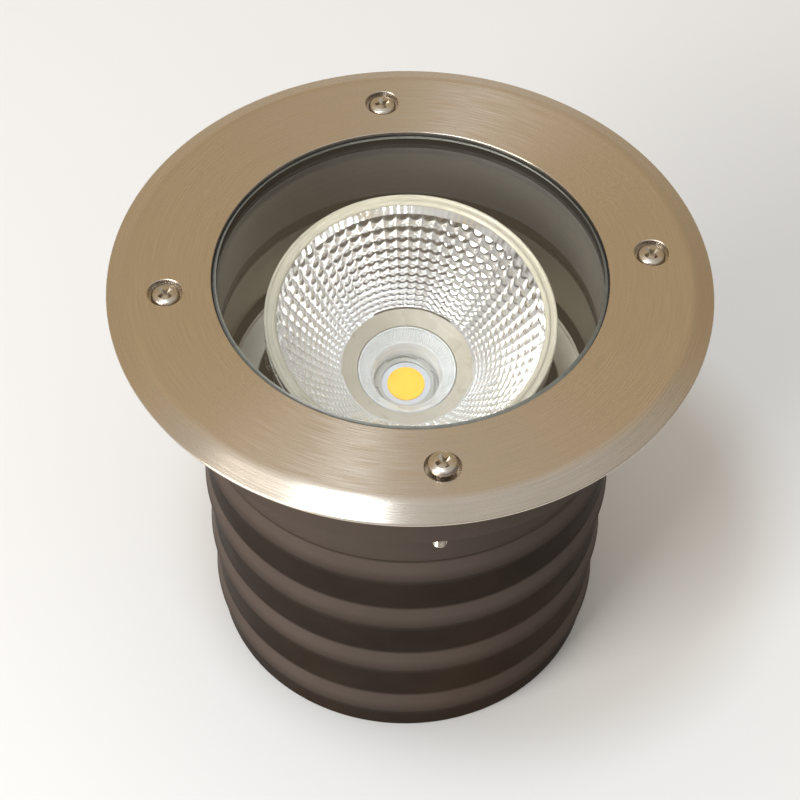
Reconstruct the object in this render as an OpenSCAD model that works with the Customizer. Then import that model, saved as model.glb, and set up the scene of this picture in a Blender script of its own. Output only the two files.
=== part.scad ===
// Adjustable in-ground well light with a ribbed mounting sleeve.
// Millimetres, +Z up. The origin is the middle of the sleeve's lower edge.
// Depths are measured down from the flat top of the trim ring.

/* [Lamp head] */
// Lean of the head towards the front
lean = 11; // [0:0.5:14]
// Diameter of the light-emitting disc
emitter_d = 13.2; // [10:0.2:15]
// Depth of the light-emitting disc below the top of its holder
emitter_sink = 4.7; // [4.2:0.1:5.5]
// Diameter of the reflector's neck
neck_d = 45.4; // [42:0.2:52]
// Distance from the bezel's top to the reflector's neck
neck_drop = 32.7; // [29:0.1:37]
// How far the reflector's mouth stands out beyond the cup, at each side
mouth_out = 3.4; // [3:0.1:3.9]
// Width of the bezel
bezel_w = 4.3; // [3.9:0.1:5]
// Height of the bezel's top above the tilt axis
pivot_to_rim = 20; // [18:0.5:22]
// Facets round the reflector
facet_cols = 60; // [32:1:72]
// Rows of facets
facet_rows = 12; // [6:1:14]
// Height of the heat sink's fins
fin_h = 13; // [9:0.5:15]
// Distance from one fin to the next
fin_pitch = 6.4; // [5:0.2:9]

/* [Yoke] */
// Width of the yoke's arms
yoke_w = 14; // [12:1:17]
// Sheet thickness of the yoke
yoke_t = 2; // [1.5:0.1:2.4]
// Room below the heat sink's middle for its swing
swing_room = 11.5; // [10:0.5:14]

/* [Glass] */
// Room between the glass and the middle of the bezel
rim_room = 13.2; // [12.5:0.1:16]
// Thickness of the glass
glass_t = 8; // [6:0.1:10]
// Depth of the glass's top face below the ring's top
glass_sink = 0.5; // [0.2:0.1:0.7]
// Width of the flange below the ring
glass_flange_w = 4.5; // [3.5:0.1:6]
// Thickness of the gasket under the glass
gasket_t = 1.8; // [1.2:0.1:2.4]

/* [Housing] */
// Room between the bezel and the polished well
head_room = 15.3; // [13:0.1:20]
// Wall of the cast housing
housing_wall = 3; // [2.5:0.1:3.5]
// Wall between the glass's seat and the notches for the screws' columns
seat_wall = 3.1; // [2.5:0.1:4]
// Distance from the gasket down to the groove in the well
groove_drop = 25.9; // [20:0.1:34]
// Distance from the tilt axis down to the floor plate
plate_drop = 21; // [18:0.5:26]

/* [Mounting sleeve] */
// Height of the sleeve's collar
collar_h = 31.2; // [26:0.1:38]
// Wall of the collar
collar_wall = 2.4; // [2:0.1:2.6]
// Wall of the sleeve below the collar
sleeve_wall = 3; // [2.4:0.1:3.6]
// Plain height between the collar and the first rib
rib_drop = 26.8; // [20:0.1:32]
// Number of ribs
rib_count = 4; // [2:1:4]
// Height of a rib's light upper slope
rib_slope_h = 10.5; // [6:0.5:14]
// How far a rib stands out
rib_out = 1.5; // [0.8:0.1:1.8]
// Plain height below the last rib
foot_plain_h = 10.6; // [6:0.1:14]
// Room below the cable gland, down to the sleeve's lower edge
foot_room = 11.5; // [6:0.5:25]

/* [Trim ring] */
// Thickness of the trim ring
ring_t = 3.5; // [3:0.1:4.5]
// How far the ring stands out beyond the sleeve's collar
ring_out = 15.5; // [13:0.1:22]
// Width of the sloping outer band
bevel_w = 7; // [3:0.5:8.5]
// Height of the upright edge below the sloping band
ring_edge_h = 0.3; // [0.3:0.1:1.5]

/* [Trim screws] */
// Thread diameter of the trim screws
screw_d = 5; // [4:0.5:5]
// Head diameter of the trim screws
screw_head_d = 9.6; // [8.5:0.1:10.5]
// Metal left under the heads of the trim screws
screw_floor_t = 1.1; // [0.9:0.1:1.6]
// Length of the trim screws under the head
screw_len = 42; // [34:1:50]
// How far the loosened front screw stands up
screw_lift = 3; // [0:0.5:4]

/* [Gear] */
// Length of the driver
driver_l = 72; // [60:1:80]
// Width of the driver
driver_w = 44; // [36:1:50]
// Height of the driver
driver_h = 20; // [16:1:24]
// Diameter of the cable that the gland takes
cable_d = 9; // [7:0.5:10.5]

/* [Hidden] */

$fn = 96;

// Overrun of every cut
over = 1;
// Gap between pieces that are put together by hand
slip = 0.1;
// Gap between the ring and what it covers
ring_gap = 0.3;
// Radial clearance of a turning pin
run_gap = 0.05;

// Small screws
m3_d = 3;
m3_head_d = 5.6;
m3_head_h = 1.8;
m4_d = 4;
m4_head_d = 7.6;
m4_head_h = 2.6;
thread_grip = 8;
screw_tip_share = 0.35;
recess_w_share = 0.17;
recess_l_share = 0.58;
recess_h_share = 0.55;
edge_share = 0.16;

// Light source and neck, measured down from the bezel's top and out from the head's axis
emitter_r = emitter_d / 2;
emitter_t = 0.4;
board_margin = 5.4;
board_w = emitter_d + 2 * board_margin;
board_t = 1.3;
pad_t = 0.4;
pad_margin = 0.5;
pad_w = board_w + 2 * pad_margin;
pocket_gap = 0.5;
pocket_w = pad_w + 2 * pocket_gap;
neck_r = neck_d / 2;
neck_slope_w = 5.4;
neck_slope_h = 2.5;
neck_inner_r = neck_r - neck_slope_w;
neck_inner_drop = neck_drop + neck_slope_h;
collar_slope_w = 5.4;
funnel_r = neck_inner_r - slip - collar_slope_w;
funnel_step = 0.4;
holder_well_r = funnel_r - funnel_step;
neck_ring_w = 2.9;
neck_ring_r = neck_r + neck_ring_w;
neck_ring_h = 8.3;
holder_drop = neck_drop + neck_ring_h;
emitter_drop = holder_drop + emitter_sink;
board_drop = emitter_drop + emitter_t;
sink_drop = board_drop + board_t + pad_t;
holder_floor_t = board_drop - holder_drop - slip;
holder_lug_d = 8;
lug_gap = 0.6;
holder_lug_x = neck_ring_r + m3_head_d / 2 + lug_gap;

// Cup, heat sink and bezel
cup_wall = 2;
cup_gap = 6.5;
cup_r = holder_lug_x + holder_lug_d / 2 + cup_gap + cup_wall;
cup_straight_drop = 15;
cup_post_d = 7;
cup_post_gap = 1;
cup_post_r = cup_r - cup_wall - cup_post_gap - cup_post_d / 2;
cup_post_rise = 1.7;
cup_post_top = neck_drop - cup_post_rise;
cup_post_angles = [90, 210, 330];
sink_r = cup_r;
sink_base_t = 5;
fin_t = 1.8;
fin_inset = 1.2;
head_clear = 0.7;
spot_t = 0.6;
mouth_r = cup_r + mouth_out;
mouth_drop = 0.8;
bezel_r = mouth_r + bezel_w;
bezel_t = 1.2;
bezel_round = 0.5;
bezel_in_r = mouth_r + slip;
clamp_t = 0.8;
cup_rim_r = bezel_r - clamp_t;
cup_rim_t = 1;
cup_in_r = cup_rim_r - cup_rim_t;
cup_rim_drop = 5.4;
cup_flange_inset = 0.2;
cup_flange_r = bezel_r - cup_flange_inset;
cup_flange_drop = 9.4;
cup_shoulder = 2.5;
cup_shoulder_w = 1.2;
cup_shoulder_r = cup_in_r - cup_shoulder_w;
cup_undercut = 3;
cup_waist_out_r = cup_flange_r - cup_undercut;
cup_waist_in_r = cup_waist_out_r - cup_wall;
reflector_wall = 1.4;
reflector_flange_r = cup_in_r - 2 * slip;
bowl_band_h = 2.7;
row_end_share = 0.96;
row_ratio_share = 0.89;
facet_rise_share = 0.1;
outer_step_share = 0.25;

// Glass and its gasket, measured down from the ring's top
well_r = bezel_r + head_room;
opening_step = 1;
opening_r = well_r + opening_step;
gasket_lip = 0.45;
gasket_rim = 1.7;
gasket_top_t = 0.8;
glass_r = opening_r - gasket_lip - slip;
glass_chamfer = 1;
glass_flange_r = opening_r + glass_flange_w;
glass_bottom = glass_sink + glass_t;
glass_shelf = ring_t + gasket_top_t;
gasket_bottom = glass_bottom + gasket_t;
gasket_r = glass_flange_r + slip + gasket_rim;
gasket_lip_top = glass_sink + glass_chamfer;
seat_r = gasket_r + slip;

// Circle of the trim screws, with the sleeve's columns and their notches
column_wall = 2.5;
column_d = screw_d + 2 * column_wall;
column_gap = 0.6;
column_notch_d = column_d + 2 * column_gap;
screw_r = seat_r + seat_wall + column_notch_d / 2;
screw_clear = 0.25;
screw_hole_d = screw_d + 2 * screw_clear;
screw_angles = [0, 90, 180, 270];
screw_lifts = [0, 0, 0, screw_lift];
screw_seat = ring_t - screw_floor_t;
counterbore_clear = 0.95;
counterbore_d = screw_head_d + 2 * counterbore_clear;
insert_wall = 0.8;
insert_d = screw_d + 2 * insert_wall;
insert_h = 10;

// Sleeve's collar and the ring above it
collar_wrap = 3.9;
collar_r = screw_r + collar_wrap;
collar_top = ring_t + ring_gap;
collar_depth = collar_top + collar_h;
collar_edge = 0.8;
collar_in_r = collar_r - collar_wall;
ring_r = collar_r + ring_out;
bevel_drop = ring_t - ring_edge_h;
rebate_gap = 0.5;
rebate_r = collar_r + rebate_gap;
rebate_h = 0.5;

// Lamp head's place
pivot_depth = glass_bottom + rim_room + pivot_to_rim;
yoke_depth = pivot_depth - pivot_to_rim + sink_drop + sink_base_t + fin_h + swing_room;
boss_d = 12;
boss_out = 2.3;
boss_x = cup_r + boss_out;
pivot_washer_t = 0.7;
yoke_inside = 2 * (boss_x + pivot_washer_t);
yoke_fold_r = 4;
pivot_grip = 6;
pivot_hole_d = m4_d + 2 * run_gap;

// Tray and swivel
tray_depth = yoke_depth + yoke_t;
washer_t = 0.8;
tray_top = tray_depth + washer_t;
tray_t = 2;
tray_bottom = tray_top + tray_t;
bolt_d = 6;
bolt_head_d = 10;
bolt_head_h = 4;
nut_af = 10;
nut_h = 5;
swivel_washer_d = 18;
bolt_tail = 1.2;
hub_r = 20;

// Housing
lower_r = well_r - housing_wall;
well_out_r = well_r + housing_wall;
flange_inset = 0.8;
flange_r = screw_r - flange_inset;
deck_t = 3.2;
skirt_t = 3.4;
seal_t = 0.9;
ledge_t = 2.5;
ledge_top = collar_depth - ledge_t;
skirt_bottom = ledge_top - seal_t;
groove_w = 1.2;
groove_cut = 0.8;
groove_depth = gasket_bottom + groove_drop;
plate_depth = pivot_depth + plate_drop;
plate_t = 1.5;
plate_out_r = well_r - slip;
plate_gap = 3.8;
plate_hole_r = bezel_r + plate_gap;
plate_screw_inset = 4.4;
plate_screw_r = plate_out_r - plate_screw_inset;
plate_screw_angles = [90, 210, 330];
plate_post_d = 8;
step_depth = plate_depth + plate_t;
taper_h = 6;
driver_room = 1.4;
driver_lid_t = 1.6;
floor_depth = tray_bottom + nut_h + bolt_tail + driver_room + driver_lid_t + driver_h;
floor_t = 3;
housing_depth = floor_depth + floor_t;
tray_gap = 6;
tray_r = lower_r - tray_gap;
tray_post_d = 8;
tray_edge = 0.5;
tray_post_r = tray_r - tray_edge - tray_post_d / 2;
tray_post_angles = [30, 150, 270];
tray_slot_d = 14;
tray_slot_r = tray_post_r - tray_post_d / 2 - tray_slot_d / 2;

// Driver, terminals and earth
driver_y = -2;
driver_wall = 1.6;
driver_ear = 8;
driver_ear_t = 2;
block_w = 30;
block_d = 13;
block_h = 14;
block_gap = 6.5;
block_y = driver_y - driver_w / 2 - block_gap - block_d / 2;
block_ways = 3;
block_hole_d = 3.2;
block_entry_d = 3.6;
earth_gap = 9.5;
earth_post_d = 9;
earth_x = -block_w / 2 - earth_gap - earth_post_d / 2;
earth_y = block_y;
earth_post_h = 5;
earth_washer_t = 1;
earth_washer_d = 9;

// Cable gland
gland_seal_t = 1.6;
seal_gap = 0.1;
gland_bore_d = cable_d + 2 * (gland_seal_t + seal_gap);
gland_thread_t = 3.8;
gland_d = gland_bore_d + 2 * gland_thread_t;
gland_neck_t = 1.8;
gland_neck_d = gland_bore_d + 2 * gland_neck_t;
gland_cap_t = 4;
gland_cap_d = gland_neck_d + 2 * gland_cap_t;
gland_shoulder = 2;
gland_hex_af = gland_d + 2 * gland_shoulder;
gland_washer_w = 3;
gland_washer_d = gland_d + 2 * gland_washer_w;
gland_nut_af = gland_hex_af;
gland_nut_h = 5;
gland_thread_in = 9;
gland_hex_h = 5;
gland_washer_t = 1.5;
gland_neck_h = 12;
gland_cap_h = 15;
gland_gap = 1;
cap_clear = 1;
cap_hole_d = cable_d + 2 * cap_clear;
gland_grip_n = 18;
gland_grip_d = 1.6;
gland_driver_gap = 6;
gland_y = driver_y + driver_w / 2 + gland_driver_gap + gland_nut_af / 2;

// Sleeve below the collar
rib_land = 1;
rib_land_share = 0.55;
sleeve_top_gap = 1.8;
sleeve_bottom_gap = 2.1;
sleeve_in_top_r = well_out_r + sleeve_top_gap;
sleeve_in_bottom_r = well_r + sleeve_bottom_gap;
sleeve_top_r = sleeve_in_top_r + sleeve_wall + rib_out;
sleeve_bottom_r = sleeve_in_bottom_r + sleeve_wall + rib_out;
notch_w = 24;
notch_h = 18;
gland_length = gland_washer_t + gland_hex_h + gland_gap + gland_cap_h;
total_h = housing_depth + gland_length + foot_room;
rib_first = collar_depth + rib_drop;
rib_last = total_h - foot_plain_h - rib_land - rib_slope_h;
rib_pitch = (rib_last - rib_first) / (rib_count - 1);
pivot_z = total_h - pivot_depth;

function z_at(depth) = total_h - depth;
function head_z(drop) = pivot_to_rim - drop;

// Places a part of the lamp head, whose tilt axis is its origin
module in_head() {
    translate([0, 0, pivot_z])
        rotate([lean, 0, 0])
            children();
}

module at_circle(r, angles) {
    for (a = angles)
        rotate([0, 0, a])
            translate([r, 0, 0])
                children();
}

// A tube between two depths
module tube(r_out, r_in, top, bottom) {
    translate([0, 0, z_at(bottom)])
        difference() {
            cylinder(h = bottom - top, r = r_out);
            translate([0, 0, -over])
                cylinder(h = bottom - top + 2 * over, r = r_in);
        }
}

// A screw with a pan head, its seat at z = 0 and its shank below
module pan_screw(d, l, head_d, head_h) {
    edge = edge_share * head_d;
    difference() {
        union() {
            rotate_extrude()
                polygon([
                    [0, 0], [head_d / 2, 0],
                    [head_d / 2, head_h - edge / 2],
                    [head_d / 2 - edge, head_h], [0, head_h]
                ]);
            translate([0, 0, -l + screw_tip_share * d])
                cylinder(h = l - screw_tip_share * d, d = d);
            translate([0, 0, -l])
                cylinder(h = screw_tip_share * d, d1 = d * (1 - screw_tip_share), d2 = d);
        }
        translate([0, 0, head_h * (1 - recess_h_share)])
            cross_recess(head_d, head_h);
    }
}

module cross_recess(head_d, head_h) {
    l = recess_l_share * head_d;
    w = recess_w_share * head_d;
    for (a = [0, 90])
        rotate([0, 0, a])
            translate([-l / 2, -w / 2, 0])
                cube([l, w, head_h]);
}

module hex_prism(af, h) {
    cylinder(h = h, d = af / cos(30), $fn = 6);
}

// Trim ring of brushed stainless steel, with a rebate below that covers the housing and sleeve
module trim_ring() {
    edge_z = z_at(bevel_drop);
    color("tan")
        difference() {
            rotate_extrude()
                polygon([
                    [opening_r, z_at(ring_t)], [rebate_r, z_at(ring_t)],
                    [rebate_r, z_at(ring_t + rebate_h)], [ring_r, z_at(ring_t + rebate_h)],
                    [ring_r, edge_z], [ring_r - bevel_w, z_at(0)],
                    [opening_r, z_at(0)]
                ]);
            at_circle(screw_r, screw_angles) {
                translate([0, 0, z_at(ring_t + over)])
                    cylinder(h = ring_t + 2 * over, d = screw_hole_d);
                translate([0, 0, z_at(screw_seat)])
                    cylinder(h = screw_seat + over, d = counterbore_d);
            }
        }
}

module trim_screws() {
    color("silver")
        for (i = [0:len(screw_angles) - 1])
            at_circle(screw_r, [screw_angles[i]])
                translate([0, 0, z_at(screw_seat) + screw_lifts[i]])
                    pan_screw(screw_d, screw_len, screw_head_d, screw_seat);
}

// Toughened glass with a step, so that its top lies flush in the ring
module glass_lens() {
    color("lightcyan", 0.35)
        rotate_extrude()
            polygon([
                [0, z_at(glass_bottom)], [glass_flange_r, z_at(glass_bottom)],
                [glass_flange_r, z_at(glass_shelf)], [glass_r, z_at(glass_shelf)],
                [glass_r, z_at(glass_sink + glass_chamfer)],
                [glass_r - glass_chamfer, z_at(glass_sink)], [0, z_at(glass_sink)]
            ]);
}

// Rubber gasket that wraps the glass's flange and fills the gap at the ring
module glass_gasket() {
    flange_in = glass_r + slip / 2;
    rim_in = glass_flange_r + slip;
    color("black")
        rotate_extrude()
            polygon([
                [well_r, z_at(gasket_bottom)], [gasket_r, z_at(gasket_bottom)],
                [gasket_r, z_at(ring_t)], [opening_r - slip / 2, z_at(ring_t)],
                [opening_r - slip / 2, z_at(gasket_lip_top)], [flange_in, z_at(gasket_lip_top)],
                [flange_in, z_at(glass_shelf)], [rim_in, z_at(glass_shelf)],
                [rim_in, z_at(glass_bottom)], [well_r, z_at(glass_bottom)]
            ]);
}

// Cast housing: glass seat, skirted flange, polished well and floor
module housing() {
    post_root = z_at(floor_depth + floor_t / 2);
    color("dimgray")
        difference() {
            union() {
                rotate_extrude()
                    polygon([
                        [lower_r, z_at(ring_t)], [flange_r, z_at(ring_t)],
                        [flange_r, z_at(skirt_bottom)], [flange_r - skirt_t, z_at(skirt_bottom)],
                        [flange_r - skirt_t, z_at(gasket_bottom + deck_t)],
                        [well_out_r, z_at(gasket_bottom + deck_t)],
                        [well_out_r, z_at(step_depth)],
                        [well_r, z_at(step_depth + taper_h)], [well_r, z_at(housing_depth)],
                        [0, z_at(housing_depth)], [0, z_at(floor_depth)],
                        [lower_r, z_at(floor_depth)]
                    ]);
                at_circle(plate_screw_r, plate_screw_angles)
                    translate([0, 0, post_root])
                        cylinder(h = z_at(step_depth) + over - post_root, d = plate_post_d);
                at_circle(tray_post_r, tray_post_angles)
                    translate([0, 0, post_root])
                        cylinder(h = z_at(tray_bottom) - post_root, d = tray_post_d);
                translate([earth_x, earth_y, post_root])
                    cylinder(h = earth_post_h + floor_t / 2, d = earth_post_d);
            }
            translate([0, 0, z_at(step_depth)])
                cylinder(h = step_depth, r = well_r);
            translate([0, 0, z_at(gasket_bottom)])
                cylinder(h = gasket_bottom, r = seat_r);
            translate([0, 0, z_at(groove_depth + groove_w)])
                cylinder(h = groove_w, r = well_r + groove_cut);
            at_circle(screw_r, screw_angles)
                translate([0, 0, z_at(collar_depth)])
                    cylinder(h = collar_depth, d = column_notch_d);
            at_circle(plate_screw_r, plate_screw_angles)
                translate([0, 0, z_at(step_depth + thread_grip)])
                    cylinder(h = thread_grip + 2 * over, d = m3_d);
            at_circle(tray_post_r, tray_post_angles)
                translate([0, 0, z_at(tray_bottom + thread_grip)])
                    cylinder(h = thread_grip + over, d = m3_d);
            translate([earth_x, earth_y, z_at(floor_depth)])
                cylinder(h = earth_post_h + over, d = m4_d);
            for (x = driver_screw_xs())
                translate([x, driver_y, z_at(floor_depth + floor_t / 2)])
                    cylinder(h = floor_t, d = m3_d);
            translate([0, gland_y, z_at(housing_depth + over)])
                cylinder(h = floor_t + 2 * over, d = gland_d + 2 * slip);
        }
}

module flange_seal() {
    color("black")
        difference() {
            tube(flange_r, flange_r - skirt_t - seal_t, skirt_bottom, ledge_top);
            at_circle(screw_r, screw_angles)
                translate([0, 0, z_at(collar_depth)])
                    cylinder(h = collar_depth, d = column_notch_d);
        }
}

// Radius of the sleeve over its ribs at a depth
function crest_r(depth) =
    sleeve_top_r + (sleeve_bottom_r - sleeve_top_r) * (depth - rib_first) / (total_h - rib_first);
function root_r(depth) = crest_r(depth) - rib_out;

// One rib's outline: an upper slope, a crest, a short step back and a plain recess
function rib_points(top) = [
    [root_r(top), z_at(top)],
    [crest_r(top + rib_slope_h), z_at(top + rib_slope_h)],
    [crest_r(top + rib_slope_h) - rib_land_share * rib_out, z_at(top + rib_slope_h + rib_land)]
];

// Ribbed plastic sleeve that stays in the ground, open below
module mounting_sleeve() {
    ribs = [for (i = [0:rib_count - 1]) each rib_points(rib_first + i * rib_pitch)];
    outline = concat(
        [
            [collar_in_r, z_at(collar_top)], [collar_r, z_at(collar_top)],
            [collar_r, z_at(collar_depth - collar_edge)],
            [collar_r - collar_edge, z_at(collar_depth)],
            [root_r(collar_depth), z_at(collar_depth)]
        ],
        ribs,
        [
            [root_r(total_h), z_at(total_h)], [sleeve_in_bottom_r, z_at(total_h)],
            [sleeve_in_top_r, z_at(ledge_top)], [collar_in_r, z_at(ledge_top)]
        ]
    );
    color([0.29, 0.25, 0.22])
        difference() {
            union() {
                rotate_extrude()
                    polygon(outline);
                intersection() {
                    at_circle(screw_r, screw_angles)
                        translate([0, 0, z_at(collar_depth)])
                            cylinder(h = collar_depth - collar_top, d = column_d);
                    tube(collar_r - collar_edge, sleeve_in_top_r, collar_top, collar_depth);
                }
            }
            at_circle(screw_r, screw_angles) {
                translate([0, 0, z_at(collar_depth + over)])
                    cylinder(h = collar_depth, d = screw_d);
                translate([0, 0, z_at(collar_top + insert_h)])
                    cylinder(h = insert_h + over, d = insert_d);
            }
            translate([-notch_w / 2, 0, 0]) {
                translate([0, 0, -over])
                    cube([notch_w, collar_r, notch_h - notch_w / 2 + over]);
                translate([notch_w / 2, 0, notch_h - notch_w / 2])
                    rotate([-90, 0, 0])
                        cylinder(h = collar_r, d = notch_w);
            }
        }
}

module thread_inserts() {
    color("goldenrod")
        at_circle(screw_r, screw_angles)
            translate([0, 0, z_at(collar_top + insert_h)])
                difference() {
                    cylinder(h = insert_h, d = insert_d);
                    translate([0, 0, -over])
                        cylinder(h = insert_h + 2 * over, d = screw_d);
                }
}

// Pale plate that closes the well round the lamp head
module floor_plate() {
    color("wheat")
        difference() {
            tube(plate_out_r, plate_hole_r, plate_depth, plate_depth + plate_t);
            at_circle(plate_screw_r, plate_screw_angles)
                translate([0, 0, z_at(plate_depth + plate_t + over)])
                    cylinder(h = plate_t + 2 * over, d = m3_d + 2 * slip);
        }
}

module floor_plate_screws() {
    color("silver")
        at_circle(plate_screw_r, plate_screw_angles)
            translate([0, 0, z_at(plate_depth)])
                pan_screw(m3_d, plate_t + thread_grip - over, m3_head_d, m3_head_h);
}

// Steel tray that carries the swivel over the driver
module gear_tray() {
    color("lightgray")
        difference() {
            tube(tray_r, bolt_d / 2 + slip, tray_top, tray_bottom);
            at_circle(tray_post_r, tray_post_angles)
                translate([0, 0, z_at(tray_bottom + over)])
                    cylinder(h = tray_t + 2 * over, d = m3_d + 2 * slip);
            for (a = [90, 270])
                at_circle(tray_slot_r, [a])
                    translate([0, 0, z_at(tray_bottom + over)])
                        cylinder(h = tray_t + 2 * over, d = tray_slot_d);
        }
}

module tray_screws() {
    color("silver")
        at_circle(tray_post_r, tray_post_angles)
            translate([0, 0, z_at(tray_top)])
                pan_screw(m3_d, tray_t + thread_grip - over, m3_head_d, m3_head_h);
}

module swivel_bolt() {
    shank = washer_t + yoke_t + washer_t + tray_t + nut_h + bolt_tail;
    color("silver")
        translate([0, 0, z_at(yoke_depth - washer_t)]) {
            hex_prism(bolt_head_d, bolt_head_h);
            translate([0, 0, -shank])
                cylinder(h = shank, d = bolt_d);
        }
}

module swivel_nut() {
    color("silver")
        translate([0, 0, z_at(tray_bottom + nut_h)])
            difference() {
                hex_prism(nut_af, nut_h);
                translate([0, 0, -over])
                    cylinder(h = nut_h + 2 * over, d = bolt_d);
            }
}

module swivel_washers() {
    color("ivory") {
        tube(swivel_washer_d / 2, bolt_d / 2 + slip, yoke_depth - washer_t, yoke_depth);
        tube(swivel_washer_d / 2, bolt_d / 2 + slip, tray_depth, tray_top);
    }
}

function driver_screw_xs() = [
    -driver_l / 2 - driver_ear / 2,
    driver_l / 2 + driver_ear / 2
];

// Open box of the driver with an ear at each end
module driver_case() {
    bottom = z_at(floor_depth);
    color("gainsboro")
        difference() {
            union() {
                translate([-driver_l / 2, driver_y - driver_w / 2, bottom])
                    cube([driver_l, driver_w, driver_h]);
                translate([-driver_l / 2 - driver_ear, driver_y - driver_ear / 2, bottom])
                    cube([driver_l + 2 * driver_ear, driver_ear, driver_ear_t]);
            }
            translate([
                -driver_l / 2 + driver_wall, driver_y - driver_w / 2 + driver_wall,
                bottom + driver_wall
            ])
                cube([driver_l - 2 * driver_wall, driver_w - 2 * driver_wall, driver_h]);
            for (x = driver_screw_xs())
                translate([x, driver_y, bottom - over])
                    cylinder(h = driver_ear_t + 2 * over, d = m3_d + 2 * slip);
        }
}

module driver_lid() {
    top = z_at(floor_depth) + driver_h;
    inset = driver_wall + slip;
    color("whitesmoke") {
        translate([-driver_l / 2, driver_y - driver_w / 2, top])
            cube([driver_l, driver_w, driver_lid_t]);
        translate([-driver_l / 2 + inset, driver_y - driver_w / 2 + inset, top - driver_lid_t])
            cube([driver_l - 2 * inset, driver_w - 2 * inset, driver_lid_t]);
    }
}

module driver_screws() {
    color("silver")
        for (x = driver_screw_xs())
            translate([x, driver_y, z_at(floor_depth) + driver_ear_t])
                pan_screw(m3_d, driver_ear_t + floor_t / 2, m3_head_d, m3_head_h);
}

// Three-way terminal block: clamp holes above, wire holes at the side
module terminal_block() {
    step = block_w / block_ways;
    color("white")
        difference() {
            translate([-block_w / 2, block_y - block_d / 2, z_at(floor_depth)])
                cube([block_w, block_d, block_h]);
            for (i = [0:block_ways - 1])
                translate([(2 * i + 1) * step / 2 - block_w / 2, block_y, z_at(floor_depth)]) {
                    translate([0, 0, block_h / 2])
                        cylinder(h = block_h, d = block_hole_d);
                    translate([0, -block_d, block_h / 3])
                        rotate([-90, 0, 0])
                            cylinder(h = 2 * block_d, d = block_entry_d);
                }
        }
}

module earth_screw() {
    color("gold")
        translate([earth_x, earth_y, z_at(floor_depth) + earth_post_h]) {
            cylinder(h = earth_washer_t, d = earth_washer_d);
            translate([0, 0, earth_washer_t])
                pan_screw(m4_d, earth_post_h + earth_washer_t, m4_head_d, m4_head_h);
        }
}

// Gland body: thread into the housing, hexagon, and neck for the cap nut
module gland_body() {
    hex_top = housing_depth + gland_washer_t;
    neck_end = hex_top + gland_hex_h + gland_neck_h;
    color("dimgray")
        translate([0, gland_y, 0])
            difference() {
                union() {
                    translate([0, 0, z_at(hex_top)])
                        cylinder(h = gland_thread_in + floor_t, d = gland_d);
                    translate([0, 0, z_at(hex_top + gland_hex_h)])
                        hex_prism(gland_hex_af, gland_hex_h);
                    translate([0, 0, z_at(neck_end)])
                        cylinder(h = gland_neck_h, d = gland_neck_d);
                }
                translate([0, 0, z_at(neck_end + over)])
                    cylinder(h = neck_end + 2 * over, d = gland_bore_d);
            }
}

// Cap nut of the gland with grip grooves
module gland_nut() {
    top = housing_depth + gland_washer_t + gland_hex_h + gland_gap;
    bottom = top + gland_cap_h;
    lip = bottom - top - gland_neck_h;
    color("dimgray")
        translate([0, gland_y, z_at(bottom)])
            difference() {
                cylinder(h = gland_cap_h, d = gland_cap_d);
                translate([0, 0, lip])
                    cylinder(h = gland_cap_h, d = gland_neck_d);
                translate([0, 0, -over])
                    cylinder(h = gland_cap_h, d = cap_hole_d);
                for (i = [0:gland_grip_n - 1])
                    rotate([0, 0, i * 360 / gland_grip_n])
                        translate([gland_cap_d / 2, 0, lip])
                            cylinder(h = gland_cap_h, d = gland_grip_d);
            }
}

module gland_seal() {
    top = housing_depth + gland_washer_t + gland_hex_h;
    bottom = top + gland_gap + gland_neck_h;
    color("black")
        translate([0, gland_y, 0])
            tube(gland_bore_d / 2 - seal_gap, cable_d / 2, top, bottom);
}

module gland_lock_nut() {
    color("dimgray")
        translate([0, gland_y, z_at(floor_depth)])
            difference() {
                hex_prism(gland_nut_af, gland_nut_h);
                translate([0, 0, -over])
                    cylinder(h = gland_nut_h + 2 * over, d = gland_d + slip);
            }
}

module gland_washer() {
    color("black")
        translate([0, gland_y, 0])
            tube(
                gland_washer_d / 2, gland_d / 2 + slip,
                housing_depth, housing_depth + gland_washer_t
            );
}

// Folded steel yoke that swivels on the tray and carries the head
module yoke_bracket() {
    half = yoke_inside / 2 + yoke_t;
    arm_top = pivot_z;
    base_z = z_at(tray_depth);
    color([0.16, 0.15, 0.14])
        difference() {
            union() {
                translate([-half + yoke_fold_r, -yoke_w / 2, base_z])
                    cube([2 * half - 2 * yoke_fold_r, yoke_w, yoke_t]);
                translate([0, 0, base_z])
                    cylinder(h = yoke_t, r = hub_r);
                for (side = [-1, 1]) {
                    translate([side * (half - yoke_t / 2), 0, (arm_top + base_z + yoke_fold_r) / 2])
                        cube([yoke_t, yoke_w, arm_top - base_z - yoke_fold_r], center = true);
                    translate([side * (half - yoke_t / 2), 0, arm_top])
                        rotate([0, 90, 0])
                            cylinder(h = yoke_t, d = yoke_w, center = true);
                    intersection() {
                        translate([side * (half - yoke_fold_r), 0, base_z + yoke_fold_r])
                            rotate([90, 0, 0])
                                difference() {
                                    cylinder(h = yoke_w, r = yoke_fold_r, center = true);
                                    cylinder(h = yoke_w + over, r = yoke_fold_r - yoke_t, center = true);
                                }
                        translate([side * (half - yoke_fold_r / 2), 0, base_z + yoke_fold_r / 2])
                            cube([yoke_fold_r, yoke_w, yoke_fold_r], center = true);
                    }
                }
            }
            translate([0, 0, base_z - over])
                cylinder(h = yoke_t + 2 * over, d = bolt_d + 2 * run_gap);
            translate([0, 0, arm_top])
                rotate([0, 90, 0])
                    cylinder(h = 2 * half + 2 * over, d = pivot_hole_d, center = true);
        }
}

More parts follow.
